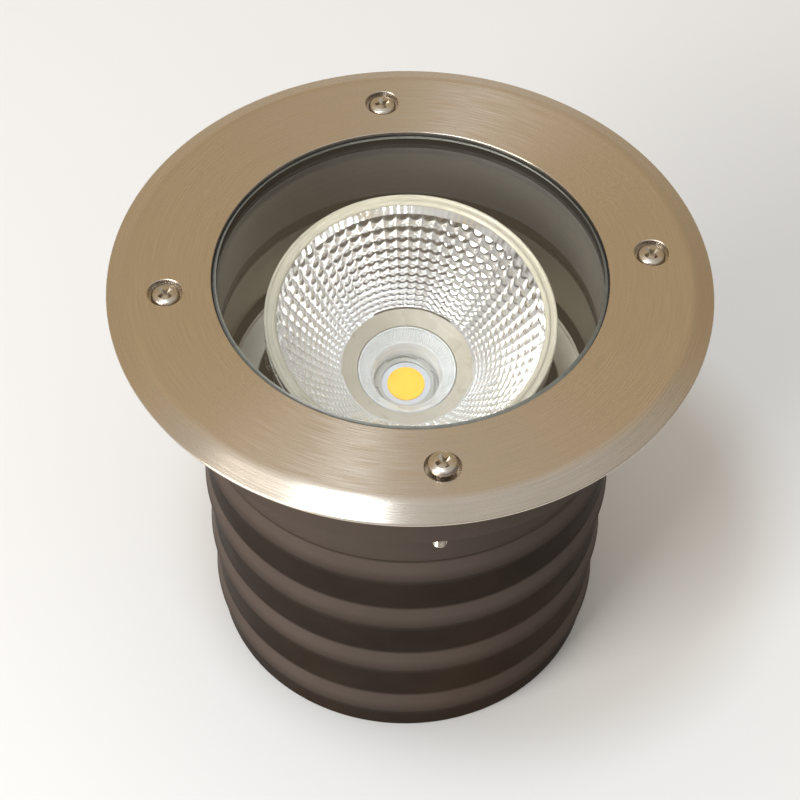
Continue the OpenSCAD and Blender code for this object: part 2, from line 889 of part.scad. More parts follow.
module pivot_washers() {
    color("ivory")
        for (side = [-1, 1])
            translate([side * (yoke_inside - pivot_washer_t) / 2, 0, pivot_z])
                rotate([0, 90, 0])
                    difference() {
                        cylinder(h = pivot_washer_t, d = boss_d, center = true);
                        cylinder(h = pivot_washer_t + over, d = pivot_hole_d, center = true);
                    }
}

module pivot_screws() {
    seat = yoke_inside / 2 + yoke_t;
    reach = seat - boss_x + pivot_grip;
    color("silver")
        in_head()
            for (side = [-1, 1])
                translate([side * seat, 0, 0])
                    rotate([0, side * 90, 0])
                        pan_screw(m4_d, reach, m4_head_d, m4_head_h);
}

module bezel_ring() {
    color("linen")
        in_head()
            rotate_extrude()
                polygon([
                    [bezel_in_r, head_z(bezel_t)], [bezel_r, head_z(bezel_t)],
                    [bezel_r, head_z(bezel_round)], [bezel_r - bezel_round, head_z(0)],
                    [bezel_in_r + bezel_round, head_z(0)], [bezel_in_r, head_z(bezel_round)]
                ]);
}

module clamp_ring() {
    color("lightgray")
        in_head()
            rotate_extrude()
                polygon([
                    [cup_rim_r, head_z(cup_rim_drop)], [bezel_r, head_z(cup_rim_drop)],
                    [bezel_r, head_z(cup_rim_drop - clamp_t)],
                    [cup_rim_r, head_z(cup_rim_drop - clamp_t)]
                ]);
}

// Black cup that holds the reflector and stands on the heat sink
module lamp_body() {
    color([0.16, 0.15, 0.14])
        in_head()
            difference() {
                union() {
                    rotate_extrude()
                        polygon([
                            [cup_in_r, head_z(bezel_t)], [cup_rim_r, head_z(bezel_t)],
                            [cup_rim_r, head_z(cup_rim_drop)], [cup_flange_r, head_z(cup_rim_drop)],
                            [cup_flange_r, head_z(cup_flange_drop)],
                            [cup_waist_out_r, head_z(cup_flange_drop)],
                            [cup_r, head_z(cup_straight_drop)], [cup_r, head_z(sink_drop)],
                            [cup_r - cup_wall, head_z(sink_drop)],
                            [cup_r - cup_wall, head_z(cup_straight_drop)],
                            [cup_waist_in_r, head_z(cup_flange_drop)],
                            [cup_shoulder_r, head_z(cup_shoulder)],
                            [cup_in_r, head_z(cup_shoulder)]
                        ]);
                    for (side = [-1, 1])
                        translate([side * (boss_x + cup_r - cup_wall) / 2, 0, 0])
                            rotate([0, 90, 0])
                                cylinder(h = boss_x - cup_r + cup_wall, d = boss_d, center = true);
                    at_circle(cup_post_r, cup_post_angles)
                        translate([0, 0, head_z(sink_drop)])
                            cylinder(h = sink_drop - cup_post_top, d = cup_post_d);
                    at_circle((cup_post_r + cup_r) / 2, cup_post_angles)
                        translate([0, 0, head_z((sink_drop + cup_post_top) / 2)])
                            cube([cup_r - cup_post_r - cup_wall, cup_wall, sink_drop - cup_post_top],
                                center = true);
                }
                rotate([0, 90, 0])
                    cylinder(h = 2 * boss_x + 2 * over, d = m4_d, center = true);
                at_circle(cup_post_r, cup_post_angles)
                    translate([0, 0, head_z(sink_drop) - over])
                        cylinder(h = thread_grip + over, d = m3_d);
            }
}

// Inner radius of the reflector, a parabola from its mouth to its neck
function bowl_r(drop) = sqrt(
    mouth_r * mouth_r
    + (neck_r * neck_r - mouth_r * mouth_r) * (drop - mouth_drop) / (neck_drop - mouth_drop)
);

// Drops of the facets' rows, which get lower towards the neck
row_start = mouth_drop + bowl_band_h;
row_end = mouth_drop + row_end_share * (neck_drop - mouth_drop);
row_drops = [
    for (i = [0:facet_rows])
        row_start + (row_end - row_start)
        * (1 - pow(row_ratio_share, i)) / (1 - pow(row_ratio_share, facet_rows))
];
outer_drops = [
    for (share = [1:-outer_step_share:outer_step_share])
        mouth_drop + share * (neck_drop - mouth_drop)
];
bowl_drops = concat([mouth_drop], row_drops, [neck_drop]);
reflector_profile = concat(
    [for (d = bowl_drops) [bowl_r(d), head_z(d)]],
    [for (d = outer_drops) [bowl_r(d) + reflector_wall, head_z(d)]],
    [
        [bowl_r(cup_shoulder) + reflector_wall, head_z(cup_shoulder)],
        [reflector_flange_r, head_z(cup_shoulder)],
        [reflector_flange_r, head_z(bezel_t)],
        [mouth_r, head_z(bezel_t)]
    ]
);
profile_n = len(reflector_profile);
grid_points = [
    for (c = [0:facet_cols - 1], p = reflector_profile)
        [p[0] * cos(c * 360 / facet_cols), p[0] * sin(c * 360 / facet_cols), p[1]]
];
peak_points = [
    for (c = [0:facet_cols - 1], i = [0:facet_rows - 1])
        let (
            drop = (row_drops[i] + row_drops[i + 1]) / 2,
            r = bowl_r(drop) - facet_rise_share * (row_drops[i + 1] - row_drops[i]),
            a = (2 * c + 1) * 180 / facet_cols
        )
            [r * cos(a), r * sin(a), head_z(drop)]
];
function grid_i(c, i) = (c % facet_cols) * profile_n + (i % profile_n);
function peak_i(c, i) = len(grid_points) + c * facet_rows + i;
facet_faces = [
    for (c = [0:facet_cols - 1], i = [1:facet_rows])
        let (
            m = peak_i(c, i - 1),
            q = [grid_i(c, i), grid_i(c, i + 1), grid_i(c + 1, i + 1), grid_i(c + 1, i)]
        )
            for (k = [0:3]) [q[(k + 1) % 4], q[k], m]
];
plain_steps = concat([0], [for (i = [facet_rows + 1:profile_n - 1]) i]);
plain_faces = [
    for (c = [0:facet_cols - 1], i = plain_steps)
        let (q = [grid_i(c, i), grid_i(c, i + 1), grid_i(c + 1, i + 1), grid_i(c + 1, i)])
            for (t = [[q[1], q[0], q[2]], [q[2], q[0], q[3]]]) t
];

// Mirror bowl with rows of raised facets between two smooth bands
module reflector() {
    color("silver")
        in_head()
            polyhedron(
                points = concat(grid_points, peak_points),
                faces = concat(facet_faces, plain_faces)
            );
}

// Satin ring that carries the reflector's neck
module neck_ring() {
    lip_r = neck_r - slip;
    color("tan")
        in_head()
            rotate_extrude()
                polygon([
                    [neck_inner_r, head_z(holder_drop)], [neck_ring_r, head_z(holder_drop)],
                    [neck_ring_r, head_z(neck_drop)], [lip_r, head_z(neck_drop)],
                    [neck_inner_r, head_z(neck_inner_drop)]
                ]);
}

module ribbed_collar() {
    outer_r = neck_inner_r - slip;
    color("white")
        in_head()
            rotate_extrude()
                polygon([
                    [funnel_r, head_z(holder_drop)], [outer_r, head_z(holder_drop)],
                    [outer_r, head_z(neck_inner_drop)]
                ]);
}

// Holder that presses the light source onto the heat sink
module cob_holder() {
    h = sink_drop - holder_drop;
    lug_r = holder_lug_d / 2;
    color("white")
        in_head()
            translate([0, 0, head_z(sink_drop)])
                difference() {
                    union() {
                        cylinder(h = h, r = neck_ring_r);
                        for (side = [-1, 1]) {
                            translate([side * holder_lug_x, 0, 0])
                                cylinder(h = h, r = lug_r);
                            translate([side * holder_lug_x / 2, 0, h / 2])
                                cube([holder_lug_x, holder_lug_d, h], center = true);
                        }
                    }
                    translate([0, 0, h - holder_floor_t - over])
                        cylinder(h = 2 * over, r = holder_well_r);
                    translate([0, 0, h - holder_floor_t])
                        cylinder(h = holder_floor_t, r1 = holder_well_r, r2 = funnel_r);
                    translate([-pocket_w / 2, -pocket_w / 2, -over])
                        cube([pocket_w, pocket_w, h - holder_floor_t + over]);
                    for (side = [-1, 1])
                        translate([side * holder_lug_x, 0, -over])
                            cylinder(h = h + 2 * over, d = m3_d + 2 * slip);
                }
}

module holder_screws() {
    h = sink_drop - holder_drop;
    color("silver")
        in_head()
            for (side = [-1, 1])
                translate([side * holder_lug_x, 0, head_z(holder_drop)])
                    pan_screw(m3_d, h + sink_base_t - over, m3_head_d, m3_head_h);
}

module cob_board() {
    color("lightgray")
        in_head()
            translate([-board_w / 2, -board_w / 2, head_z(board_drop + board_t)])
                cube([board_w, board_w, board_t]);
}

module emitter_disc() {
    color("gold")
        in_head()
            translate([0, 0, head_z(board_drop)])
                cylinder(h = emitter_t, r = emitter_r);
}

module thermal_pad() {
    color("gray")
        in_head()
            translate([-pad_w / 2, -pad_w / 2, head_z(sink_drop)])
                cube([pad_w, pad_w, pad_t]);
}

// Finned aluminium heat sink, round in plan, its outer fins shorter
module heat_sink() {
    n = floor((sink_r - fin_t) / fin_pitch);
    fin_r = sink_r - fin_inset;
    base_bottom = head_z(sink_drop + sink_base_t);
    color("silver")
        in_head()
            difference() {
                union() {
                    translate([0, 0, base_bottom])
                        cylinder(h = sink_base_t, r = sink_r);
                    for (i = [-n:n])
                        let (edge = abs(i) * fin_pitch + fin_t / 2)
                            translate([i * fin_pitch, 0, base_bottom - fin_h / 2 + over / 2])
                                cube(
                                    [fin_t, 2 * sqrt(fin_r * fin_r - edge * edge), fin_h + over],
                                    center = true
                                );
                }
                for (side = [-1, 1])
                    translate([side * holder_lug_x, 0, base_bottom + over])
                        cylinder(h = sink_base_t, d = m3_d);
                at_circle(cup_post_r, cup_post_angles) {
                    translate([0, 0, base_bottom - over])
                        cylinder(h = sink_base_t + 2 * over, d = m3_d + 2 * slip);
                    translate([0, 0, base_bottom - fin_h - over])
                        cylinder(h = fin_h + over + spot_t, d = m3_head_d + 2 * head_clear);
                }
            }
}

module heat_sink_screws() {
    grip = sink_base_t - spot_t;
    color("silver")
        in_head()
            at_circle(cup_post_r, cup_post_angles)
                translate([0, 0, head_z(sink_drop + grip)])
                    mirror([0, 0, 1])
                        pan_screw(m3_d, grip + thread_grip - over, m3_head_d, m3_head_h);
}

trim_ring();
trim_screws();
glass_lens();
glass_gasket();
housing();
flange_seal();
mounting_sleeve();
thread_inserts();
floor_plate();
floor_plate_screws();
gear_tray();
tray_screws();
swivel_bolt();
swivel_nut();
swivel_washers();
driver_case();
driver_lid();
driver_screws();
terminal_block();
earth_screw();
gland_body();
gland_nut();
gland_seal();
gland_lock_nut();
gland_washer();
yoke_bracket();
pivot_washers();
pivot_screws();
bezel_ring();
clamp_ring();
lamp_body();
reflector();
neck_ring();
ribbed_collar();
cob_holder();
holder_screws();
cob_board();
emitter_disc();
thermal_pad();
heat_sink();
heat_sink_screws();
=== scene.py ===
"""Looks for an adjustable in-ground well light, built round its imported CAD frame."""
import math

import bpy
import bmesh
from mathutils import Matrix, Vector


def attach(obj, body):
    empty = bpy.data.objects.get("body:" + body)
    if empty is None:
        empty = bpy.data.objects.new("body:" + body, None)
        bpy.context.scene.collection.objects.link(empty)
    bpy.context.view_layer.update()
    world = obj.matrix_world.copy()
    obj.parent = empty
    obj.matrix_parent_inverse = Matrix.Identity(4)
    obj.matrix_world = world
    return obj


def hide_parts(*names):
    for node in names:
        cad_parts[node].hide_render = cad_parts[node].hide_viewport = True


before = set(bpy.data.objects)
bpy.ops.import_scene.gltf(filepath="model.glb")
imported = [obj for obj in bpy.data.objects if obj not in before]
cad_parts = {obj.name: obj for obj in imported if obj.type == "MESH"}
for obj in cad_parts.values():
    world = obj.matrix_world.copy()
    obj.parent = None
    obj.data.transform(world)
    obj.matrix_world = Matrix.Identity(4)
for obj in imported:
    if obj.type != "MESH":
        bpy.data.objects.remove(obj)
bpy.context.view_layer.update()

MM = 0.001
TOTAL_H = 170.0
RING_R = 100.0
RING_T = 3.5
SCREW_R = 80.6
SCREW_LIFTS = (0.0, 0.0, 0.0, 3.0)
SCREW_ANGLES = (0, 90, 180, 270)
PIVOT_DEPTH = 41.7
PIVOT_Z = TOTAL_H - PIVOT_DEPTH
PIVOT_TO_RIM = 20.0
RIB_FIRST, RIB_PITCH = 61.8, 28.7
OVER = 1.0
LEAN = math.radians(11.0)
HEAD = Matrix.Translation((0, 0, PIVOT_Z * MM)) @ Matrix.Rotation(LEAN, 4, "X")


def z_at(depth):
    return TOTAL_H - depth


def head_z(drop):
    return PIVOT_TO_RIM - drop


# Mesh helpers

TINY = 1e-6
MERGE_M = 1e-7


def soften(points, radii, steps=4):
    """A closed outline whose corners are rounded; radii is one number or a list."""
    out = []
    n = len(points)
    for i in range(n):
        p, q, r = (Vector(points[(i + k) % n]) for k in (-1, 0, 1))
        want = radii[i] if isinstance(radii, (list, tuple)) else radii
        a, b = (p - q), (r - q)
        if want <= 0 or a.length < TINY or b.length < TINY:
            out.append(tuple(q))
            continue
        angle = a.angle(b)
        if angle > math.pi - 0.01:
            out.append(tuple(q))
            continue
        reach = want / math.tan(angle / 2)
        reach = min(reach, 0.45 * a.length, 0.45 * b.length)
        radius = reach * math.tan(angle / 2)
        t0, t1 = q + a.normalized() * reach, q + b.normalized() * reach
        middle = q + (a.normalized() + b.normalized()).normalized() * (
            radius / math.sin(angle / 2)
        )
        u, v = t0 - middle, t1 - middle
        total = u.angle(v)
        for k in range(steps + 1):
            s = k / steps
            w = (u * math.sin((1 - s) * total) + v * math.sin(s * total)) / math.sin(total)
            out.append(tuple(middle + w))
    return out


def supported(points, longest=2.5, edge=0.35):
    """The outline with extra points near the ends of its long sides, which then shade flat."""
    out = []
    n = len(points)
    for i in range(n):
        p, q = Vector(points[i]), Vector(points[(i + 1) % n])
        out.append(tuple(p))
        d = q - p
        if d.length > longest:
            u = d.normalized() * edge
            out.append(tuple(p + u))
            out.append(tuple(q - u))
    return out


def mesh_object(name, verts, faces, matrix=None):
    mesh = bpy.data.meshes.new(name)
    mesh.from_pydata([tuple(c * MM for c in v) for v in verts], [], faces)
    mesh.validate()
    bm = bmesh.new()
    bm.from_mesh(mesh)
    bmesh.ops.remove_doubles(bm, verts=bm.verts, dist=MERGE_M)
    bmesh.ops.recalc_face_normals(bm, faces=bm.faces)
    bm.to_mesh(mesh)
    bm.free()
    o = bpy.data.objects.new(name, mesh)
    bpy.context.scene.collection.objects.link(o)
    if matrix is not None:
        o.matrix_world = matrix
    return o


def revolved(outline, steps, verts, faces, centre=(0, 0)):
    """Adds a closed outline of (r, z), turned round the Z axis, to verts and faces."""
    rings = []
    for r, z in outline:
        if r < TINY:
            rings.append([len(verts)] * steps)
            verts.append((centre[0], centre[1], z))
        else:
            rings.append(list(range(len(verts), len(verts) + steps)))
            for k in range(steps):
                a = 2 * math.pi * k / steps
                verts.append((centre[0] + r * math.cos(a), centre[1] + r * math.sin(a), z))
    n = len(rings)
    for i in range(n):
        p, q = rings[i], rings[(i + 1) % n]
        for k in range(steps):
            m = (k + 1) % steps
            face = []
            for v in (p[k], p[m], q[m], q[k]):
                if v not in face:
                    face.append(v)
            if len(face) > 2:
                faces.append(face)


def revolve(name, outline, steps=256, matrix=None):
    verts, faces = [], []
    revolved(outline, steps, verts, faces)
    return mesh_object(name, verts, faces, matrix)


def smooth(o, degrees=32):
    """Smooth shading, with edges sharper than the angle kept."""
    bm = bmesh.new()
    bm.from_mesh(o.data)
    limit = math.radians(degrees)
    for f in bm.faces:
        f.smooth = True
    for e in bm.edges:
        e.smooth = len(e.link_faces) == 2 and e.calc_face_angle(0) < limit
    bm.to_mesh(o.data)
    bm.free()
    return o


def carve(o, cutters):
    """Cuts each cutter out of o and deletes the cutter."""
    for c in cutters:
        m = o.modifiers.new("cut", "BOOLEAN")
        m.object = c
        m.operation = "DIFFERENCE"
        m.solver = "EXACT"
    bpy.context.view_layer.update()
    dg = bpy.context.evaluated_depsgraph_get()
    mesh = bpy.data.meshes.new_from_object(o.evaluated_get(dg))
    o.modifiers.clear()
    old = o.data
    o.data = mesh
    bpy.data.meshes.remove(old)
    for c in cutters:
        data = c.data
        bpy.data.objects.remove(c)
        bpy.data.meshes.remove(data)


def dress(o, body, materials, replaces=()):
    """Gives a piece its body and materials, and hides the CAD nodes that it stands for."""
    o.data.materials.clear()
    for m in materials if isinstance(materials, (list, tuple)) else [materials]:
        o.data.materials.append(m)
    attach(o, body)
    if replaces:
        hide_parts(*replaces)


# Materials

NOISE_ROUGHNESS = 0.55


class Look:
    """A Principled material with a few ready-made layers of detail."""

    def __init__(self, name, color, metallic=0.0, rough=0.5, head=False, **more):
        self.mat = bpy.data.materials.new(name)
        self.mat.use_nodes = True
        self.tree = self.mat.node_tree
        self.bsdf = self.tree.nodes["Principled BSDF"]
        self.color = color
        self.rough = rough
        self.bsdf.inputs["Base Color"].default_value = (*color, 1)
        self.bsdf.inputs["Metallic"].default_value = metallic
        self.bsdf.inputs["Roughness"].default_value = rough
        for key, value in more.items():
            self.bsdf.inputs[key.replace("_", " ")].default_value = value
        self.place = self.node("ShaderNodeTexCoord").outputs["Object"]
        if head:
            m = self.node("ShaderNodeMapping")
            m.vector_type = "TEXTURE"
            m.inputs["Location"].default_value = (0, 0, PIVOT_Z * MM)
            m.inputs["Rotation"].default_value = (LEAN, 0, 0)
            self.link(self.place, m.inputs["Vector"])
            self.place = m.outputs["Vector"]

    def node(self, kind, **inputs):
        n = self.tree.nodes.new(kind)
        for key, value in inputs.items():
            n.inputs[key].default_value = value
        return n

    def link(self, a, b):
        self.tree.links.new(a, b)

    def math(self, operation, a, b=None):
        n = self.node("ShaderNodeMath")
        n.operation = operation
        for i, v in enumerate((a, b)):
            if v is None:
                continue
            if isinstance(v, (int, float)):
                n.inputs[i].default_value = v
            else:
                self.link(v, n.inputs[i])
        return n.outputs[0]

    def scaled(self, scale):
        m = self.node("ShaderNodeMapping")
        m.inputs["Scale"].default_value = scale
        self.link(self.place, m.inputs["Vector"])
        return m.outputs["Vector"]

    def round_place(self, radial, along, up):
        """Coordinates (radius, angle, height), each times its factor, for turned and ribbed detail."""
        s = self.node("ShaderNodeSeparateXYZ")
        self.link(self.place, s.inputs[0])
        x, y, z = s.outputs
        squares = self.math("ADD", self.math("MULTIPLY", x, x), self.math("MULTIPLY", y, y))
        r = self.math("SQRT", squares)
        a = self.math("ARCTAN2", y, x)
        c = self.node("ShaderNodeCombineXYZ")
        self.link(self.math("MULTIPLY", r, radial), c.inputs[0])
        self.link(self.math("MULTIPLY", a, along), c.inputs[1])
        self.link(self.math("MULTIPLY", z, up), c.inputs[2])
        return c.outputs[0]

    def noise(self, scale, detail=4.0, vector=None):
        n = self.node("ShaderNodeTexNoise", Scale=scale, Detail=detail, Roughness=NOISE_ROUGHNESS)
        self.link(vector or self.place, n.inputs["Vector"])
        return n.outputs["Fac"]

    def remap(self, value, low, high, from_low=0.3, from_high=0.7):
        m = self.node("ShaderNodeMapRange")
        m.inputs["From Min"].default_value = from_low
        m.inputs["From Max"].default_value = from_high
        m.inputs["To Min"].default_value = low
        m.inputs["To Max"].default_value = high
        self.link(value, m.inputs["Value"])
        return m.outputs["Result"]

    def base(self):
        """The socket that now feeds Base Color, or None when nothing feeds it."""
        socket = self.bsdf.inputs["Base Color"]
        return socket.links[0].from_socket if socket.is_linked else None

    def tint(self, fac, color):
        """Mixes a colour over the base colour, by fac."""
        m = self.node("ShaderNodeMix")
        m.data_type = "RGBA"
        under = self.base()
        if under is None:
            m.inputs[6].default_value = (*self.color, 1)
        else:
            self.link(under, m.inputs[6])
        m.inputs[7].default_value = (*color, 1)
        self.link(fac, m.inputs[0])
        self.link(m.outputs[2], self.bsdf.inputs["Base Color"])

    def mottle(self, scale, amount, vector=None, detail=4.0):
        """Soft variation of the base colour."""
        n = self.remap(self.noise(scale, detail, vector), 0.0, 1.0)
        dark = tuple(c * (1 - amount) for c in self.color)
        self.tint(n, dark)

    def patchy(self, scale, spread, vector=None, detail=4.0):
        """Varies the roughness by spread either way."""
        low, high = max(0.02, self.rough - spread), self.rough + spread
        n = self.remap(self.noise(scale, detail, vector), low, high)
        self.link(n, self.bsdf.inputs["Roughness"])

    def bump(self, height, distance, strength):
        b = self.node("ShaderNodeBump", Strength=strength, Distance=distance)
        self.link(height, b.inputs["Height"])
        self.link(b.outputs["Normal"], self.bsdf.inputs["Normal"])


def brushed_ring_steel():
    k = Look("ring_steel_brushed", (0.63, 0.56, 0.475), 1.0, 0.27, Anisotropic=0.90)
    t = k.node("ShaderNodeTangent")
    t.direction_type = "RADIAL"
    t.axis = "Z"
    k.link(t.outputs[0], k.bsdf.inputs["Tangent"])
    k.bsdf.inputs["Anisotropic Rotation"].default_value = 0.25
    fine = k.round_place(2600.0, 5.0, 900.0)
    broad = k.round_place(1300.0, 1.6, 500.0)
    k.mottle(1.0, 0.09, fine, 3.0)
    k.tint(k.remap(k.noise(1.0, 2.0, broad), 0.0, 0.30, 0.35, 0.75), (0.54, 0.47, 0.39))
    k.tint(k.remap(k.noise(14.0, 3.0), 0.0, 0.35, 0.45, 0.75), (0.57, 0.49, 0.40))
    k.patchy(1.0, 0.06, fine, 3.0)
    k.bump(k.noise(1.0, 3.0, fine), 0.00002, 0.35)
    return k.mat


def screw_steel(name="screw_steel_look", head=False):
    k = Look(name, (0.60, 0.54, 0.46), 1.0, 0.28, head)
    k.mottle(900.0, 0.18)
    k.patchy(300.0, 0.08)
    k.bump(k.noise(1600.0, 3.0), 0.00003, 0.4)
    return k.mat


def zinc(name):
    k = Look(name, (0.58, 0.58, 0.57), 1.0, 0.36)
    k.mottle(160.0, 0.22)
    k.patchy(90.0, 0.10)
    k.bump(k.noise(1200.0, 4.0), 0.00004, 0.3)
    return k.mat


def rubber(name):
    k = Look(name, (0.012, 0.012, 0.012), 0.0, 0.62)
    k.mottle(220.0, 0.4)
    k.tint(k.remap(k.noise(60.0), 0.0, 0.25), (0.05, 0.05, 0.048))
    k.bump(k.noise(2400.0, 3.0), 0.00003, 0.5)
    return k.mat


def cast_metal(name, color, rough=0.4, metallic=0.6, head=False):
    k = Look(name, color, metallic, rough, head)
    k.mottle(120.0, 0.25)
    k.patchy(60.0, 0.08)
    k.bump(k.noise(900.0, 5.0), 0.00006, 0.35)
    return k.mat


def plastic(name, color, rough=0.45, head=False, speck=0.12, **more):
    k = Look(name, color, 0.0, rough, head, **more)
    k.mottle(180.0, speck)
    k.patchy(120.0, 0.06)
    k.bump(k.noise(1800.0, 4.0), 0.00003, 0.35)
    return k.mat


def painted(name, color, rough=0.4, head=False):
    k = Look(name, color, 0.0, rough, head, Coat_Weight=0.15, Coat_Roughness=0.25)
    k.mottle(90.0, 0.10)
    k.patchy(110.0, 0.06)
    k.bump(k.noise(1500.0, 3.0), 0.00004, 0.3)
    return k.mat


def mirror_metal():
    k = Look("reflector_mirror", (0.975, 0.975, 0.97), 1.0, 0.05)
    k.mottle(60.0, 0.03)
    k.patchy(180.0, 0.02)
    k.bump(k.noise(700.0, 2.0), 0.00002, 0.10)
    return k.mat


# Depths at which the housing's colour changes: lighter and browner below the groove, painted shade in
# a dark band round the groove, and painted shade at the foot where the wall meets the floor plate
GROOVE_EDGE = (37.0, 37.4)
SHADE_BAND_TOP, SHADE_BAND_BOTTOM = (32.6, 33.6), (38.0, 39.2)
FOOT_SHADE_EDGE = (58.6, 59.6)


def polished_well():
    """The cast housing, polished inside the well and out alike."""
    k = Look("housing_cast", (0.285, 0.275, 0.255), 0.8, 0.34)
    k.mottle(1.0, 0.08, k.round_place(700.0, 0.8, 700.0), 2.0)
    k.tint(k.remap(k.noise(12.0, 2.0), 0.0, 0.3), (0.24, 0.22, 0.19))
    s = k.node("ShaderNodeSeparateXYZ")
    k.link(k.place, s.inputs[0])

    def past(edge, over=0, under=1):
        """The value over above the edge's first depth, under below its second."""
        first, second = edge
        return k.remap(s.outputs[2], under, over, z_at(second) * MM, z_at(first) * MM)

    k.tint(past(GROOVE_EDGE), (0.36, 0.315, 0.245))
    # Painted shade: near black round the groove and at the foot of the well wall
    shade_band = k.math("MULTIPLY", past(SHADE_BAND_BOTTOM, over=1, under=0), past(SHADE_BAND_TOP))
    k.tint(k.math("MAXIMUM", shade_band, past(FOOT_SHADE_EDGE)), (0.016, 0.012, 0.009))
    k.patchy(25.0, 0.04)
    k.bump(k.noise(1.0, 2.0, k.round_place(2200.0, 2.0, 2200.0)), 0.000012, 0.2)
    return k.mat


def clear_glass():
    m = bpy.data.materials.new("glass_clear")
    m.use_nodes = True
    t = m.node_tree
    b = t.nodes["Principled BSDF"]
    b.inputs["Base Color"].default_value = (0.985, 0.987, 0.98, 1)
    b.inputs["Roughness"].default_value = 0.0
    b.inputs["IOR"].default_value = 1.52
    b.inputs["Transmission Weight"].default_value = 1.0
    path = t.nodes.new("ShaderNodeLightPath")
    clear = t.nodes.new("ShaderNodeBsdfTransparent")
    clear.inputs["Color"].default_value = (0.94, 0.945, 0.935, 1)
    mix = t.nodes.new("ShaderNodeMixShader")
    t.links.new(path.outputs["Is Shadow Ray"], mix.inputs[0])
    t.links.new(b.outputs[0], mix.inputs[1])
    t.links.new(clear.outputs[0], mix.inputs[2])
    t.links.new(mix.outputs[0], t.nodes["Material Output"].inputs["Surface"])
    return m


def ground_glass():
    k = Look("glass_ground_edge", (0.22, 0.23, 0.21), 0.0, 0.35)
    k.mottle(500.0, 0.25)
    k.bump(k.noise(1800.0, 3.0), 0.00004, 0.5)
    return k.mat


# Height of the blend above the first rib, and how much lighter the band above it is
BAND_BLEND, BAND_LIGHTER = 1.0, 0.75


def sleeve_plastic():
    """Dark brown plastic; painted light makes its up-facing slopes lighter than the recesses between
    them.
    """
    k = Look("sleeve_brown", (0.031, 0.023, 0.018), 0.0, 0.34, Specular_IOR_Level=0.004)
    s = k.node("ShaderNodeSeparateXYZ")
    k.link(k.place, s.inputs[0])
    depth = k.math("SUBTRACT", TOTAL_H * MM, s.outputs[2])
    ribs_down = k.math("MULTIPLY", k.math("SUBTRACT", depth, RIB_FIRST * MM), 1 / (RIB_PITCH * MM))
    phase = k.math("FRACT", ribs_down)
    # Painted light: each rib's up-facing slope is lighter, as if lit from above
    lit_slope = k.math("MULTIPLY", k.remap(phase, 0, 1, 0.0, 0.05), k.remap(phase, 1, 0, 0.20, 0.50))
    above = k.remap(depth, 1, 0, (RIB_FIRST - BAND_BLEND) * MM, RIB_FIRST * MM)
    # The band above the first rib is lighter too
    pale = k.math("MAXIMUM", lit_slope, k.math("MULTIPLY", above, BAND_LIGHTER))
    # Noise makes the painted light uneven
    uneven_light = k.remap(k.noise(16.0, 3.0), 0.75, 1.0)
    k.mottle(60.0, 0.2)
    k.tint(k.math("MULTIPLY", pale, uneven_light), (0.098, 0.078, 0.067))
    # Painted reflection: reddish patches of warm surroundings
    k.tint(k.remap(k.noise(9.0, 2.0), 0.0, 0.30, 0.5, 0.75), (0.070, 0.036, 0.018))
    k.patchy(30.0, 0.06)
    k.bump(k.noise(1.0, 2.0, k.round_place(500.0, 4.0, 600.0)), 0.00004, 0.15)
    return k.mat


def white_board():
    k = Look("board_white", (0.56, 0.56, 0.58), 0.0, 0.35, head=True, Coat_Weight=0.3)
    k.mottle(500.0, 0.06)
    k.bump(k.noise(1500.0, 2.0), 0.00002, 0.3)
    return k.mat


def phosphor():
    k = Look("emitter_phosphor", (0.95, 0.51, 0.026), 0.0, 0.45, head=True, Coat_Weight=0.25)
    k.mottle(1500.0, 0.10)
    k.tint(k.remap(k.noise(220.0, 2.0), 0.0, 0.35), (0.96, 0.57, 0.052))
    k.bump(k.noise(2200.0, 3.0), 0.00003, 0.4)
    return k.mat


def aluminium(name, color=(0.62, 0.63, 0.64), rough=0.34, head=False):
    k = Look(name, color, 1.0, rough, head)
    k.mottle(1.0, 0.12, k.scaled((60, 2200, 2200)))
    k.patchy(100.0, 0.06)
    k.bump(k.noise(1.0, 3.0, k.scaled((60, 2600, 2600))), 0.00003, 0.3)
    return k.mat


def plate_paint():
    k = Look("plate_beige", (0.68, 0.61, 0.47), 0.0, 0.42, Coat_Weight=0.25)
    k.mottle(45.0, 0.14)
    k.patchy(90.0, 0.08)
    k.bump(k.noise(900.0, 4.0), 0.00005, 0.3)
    return k.mat


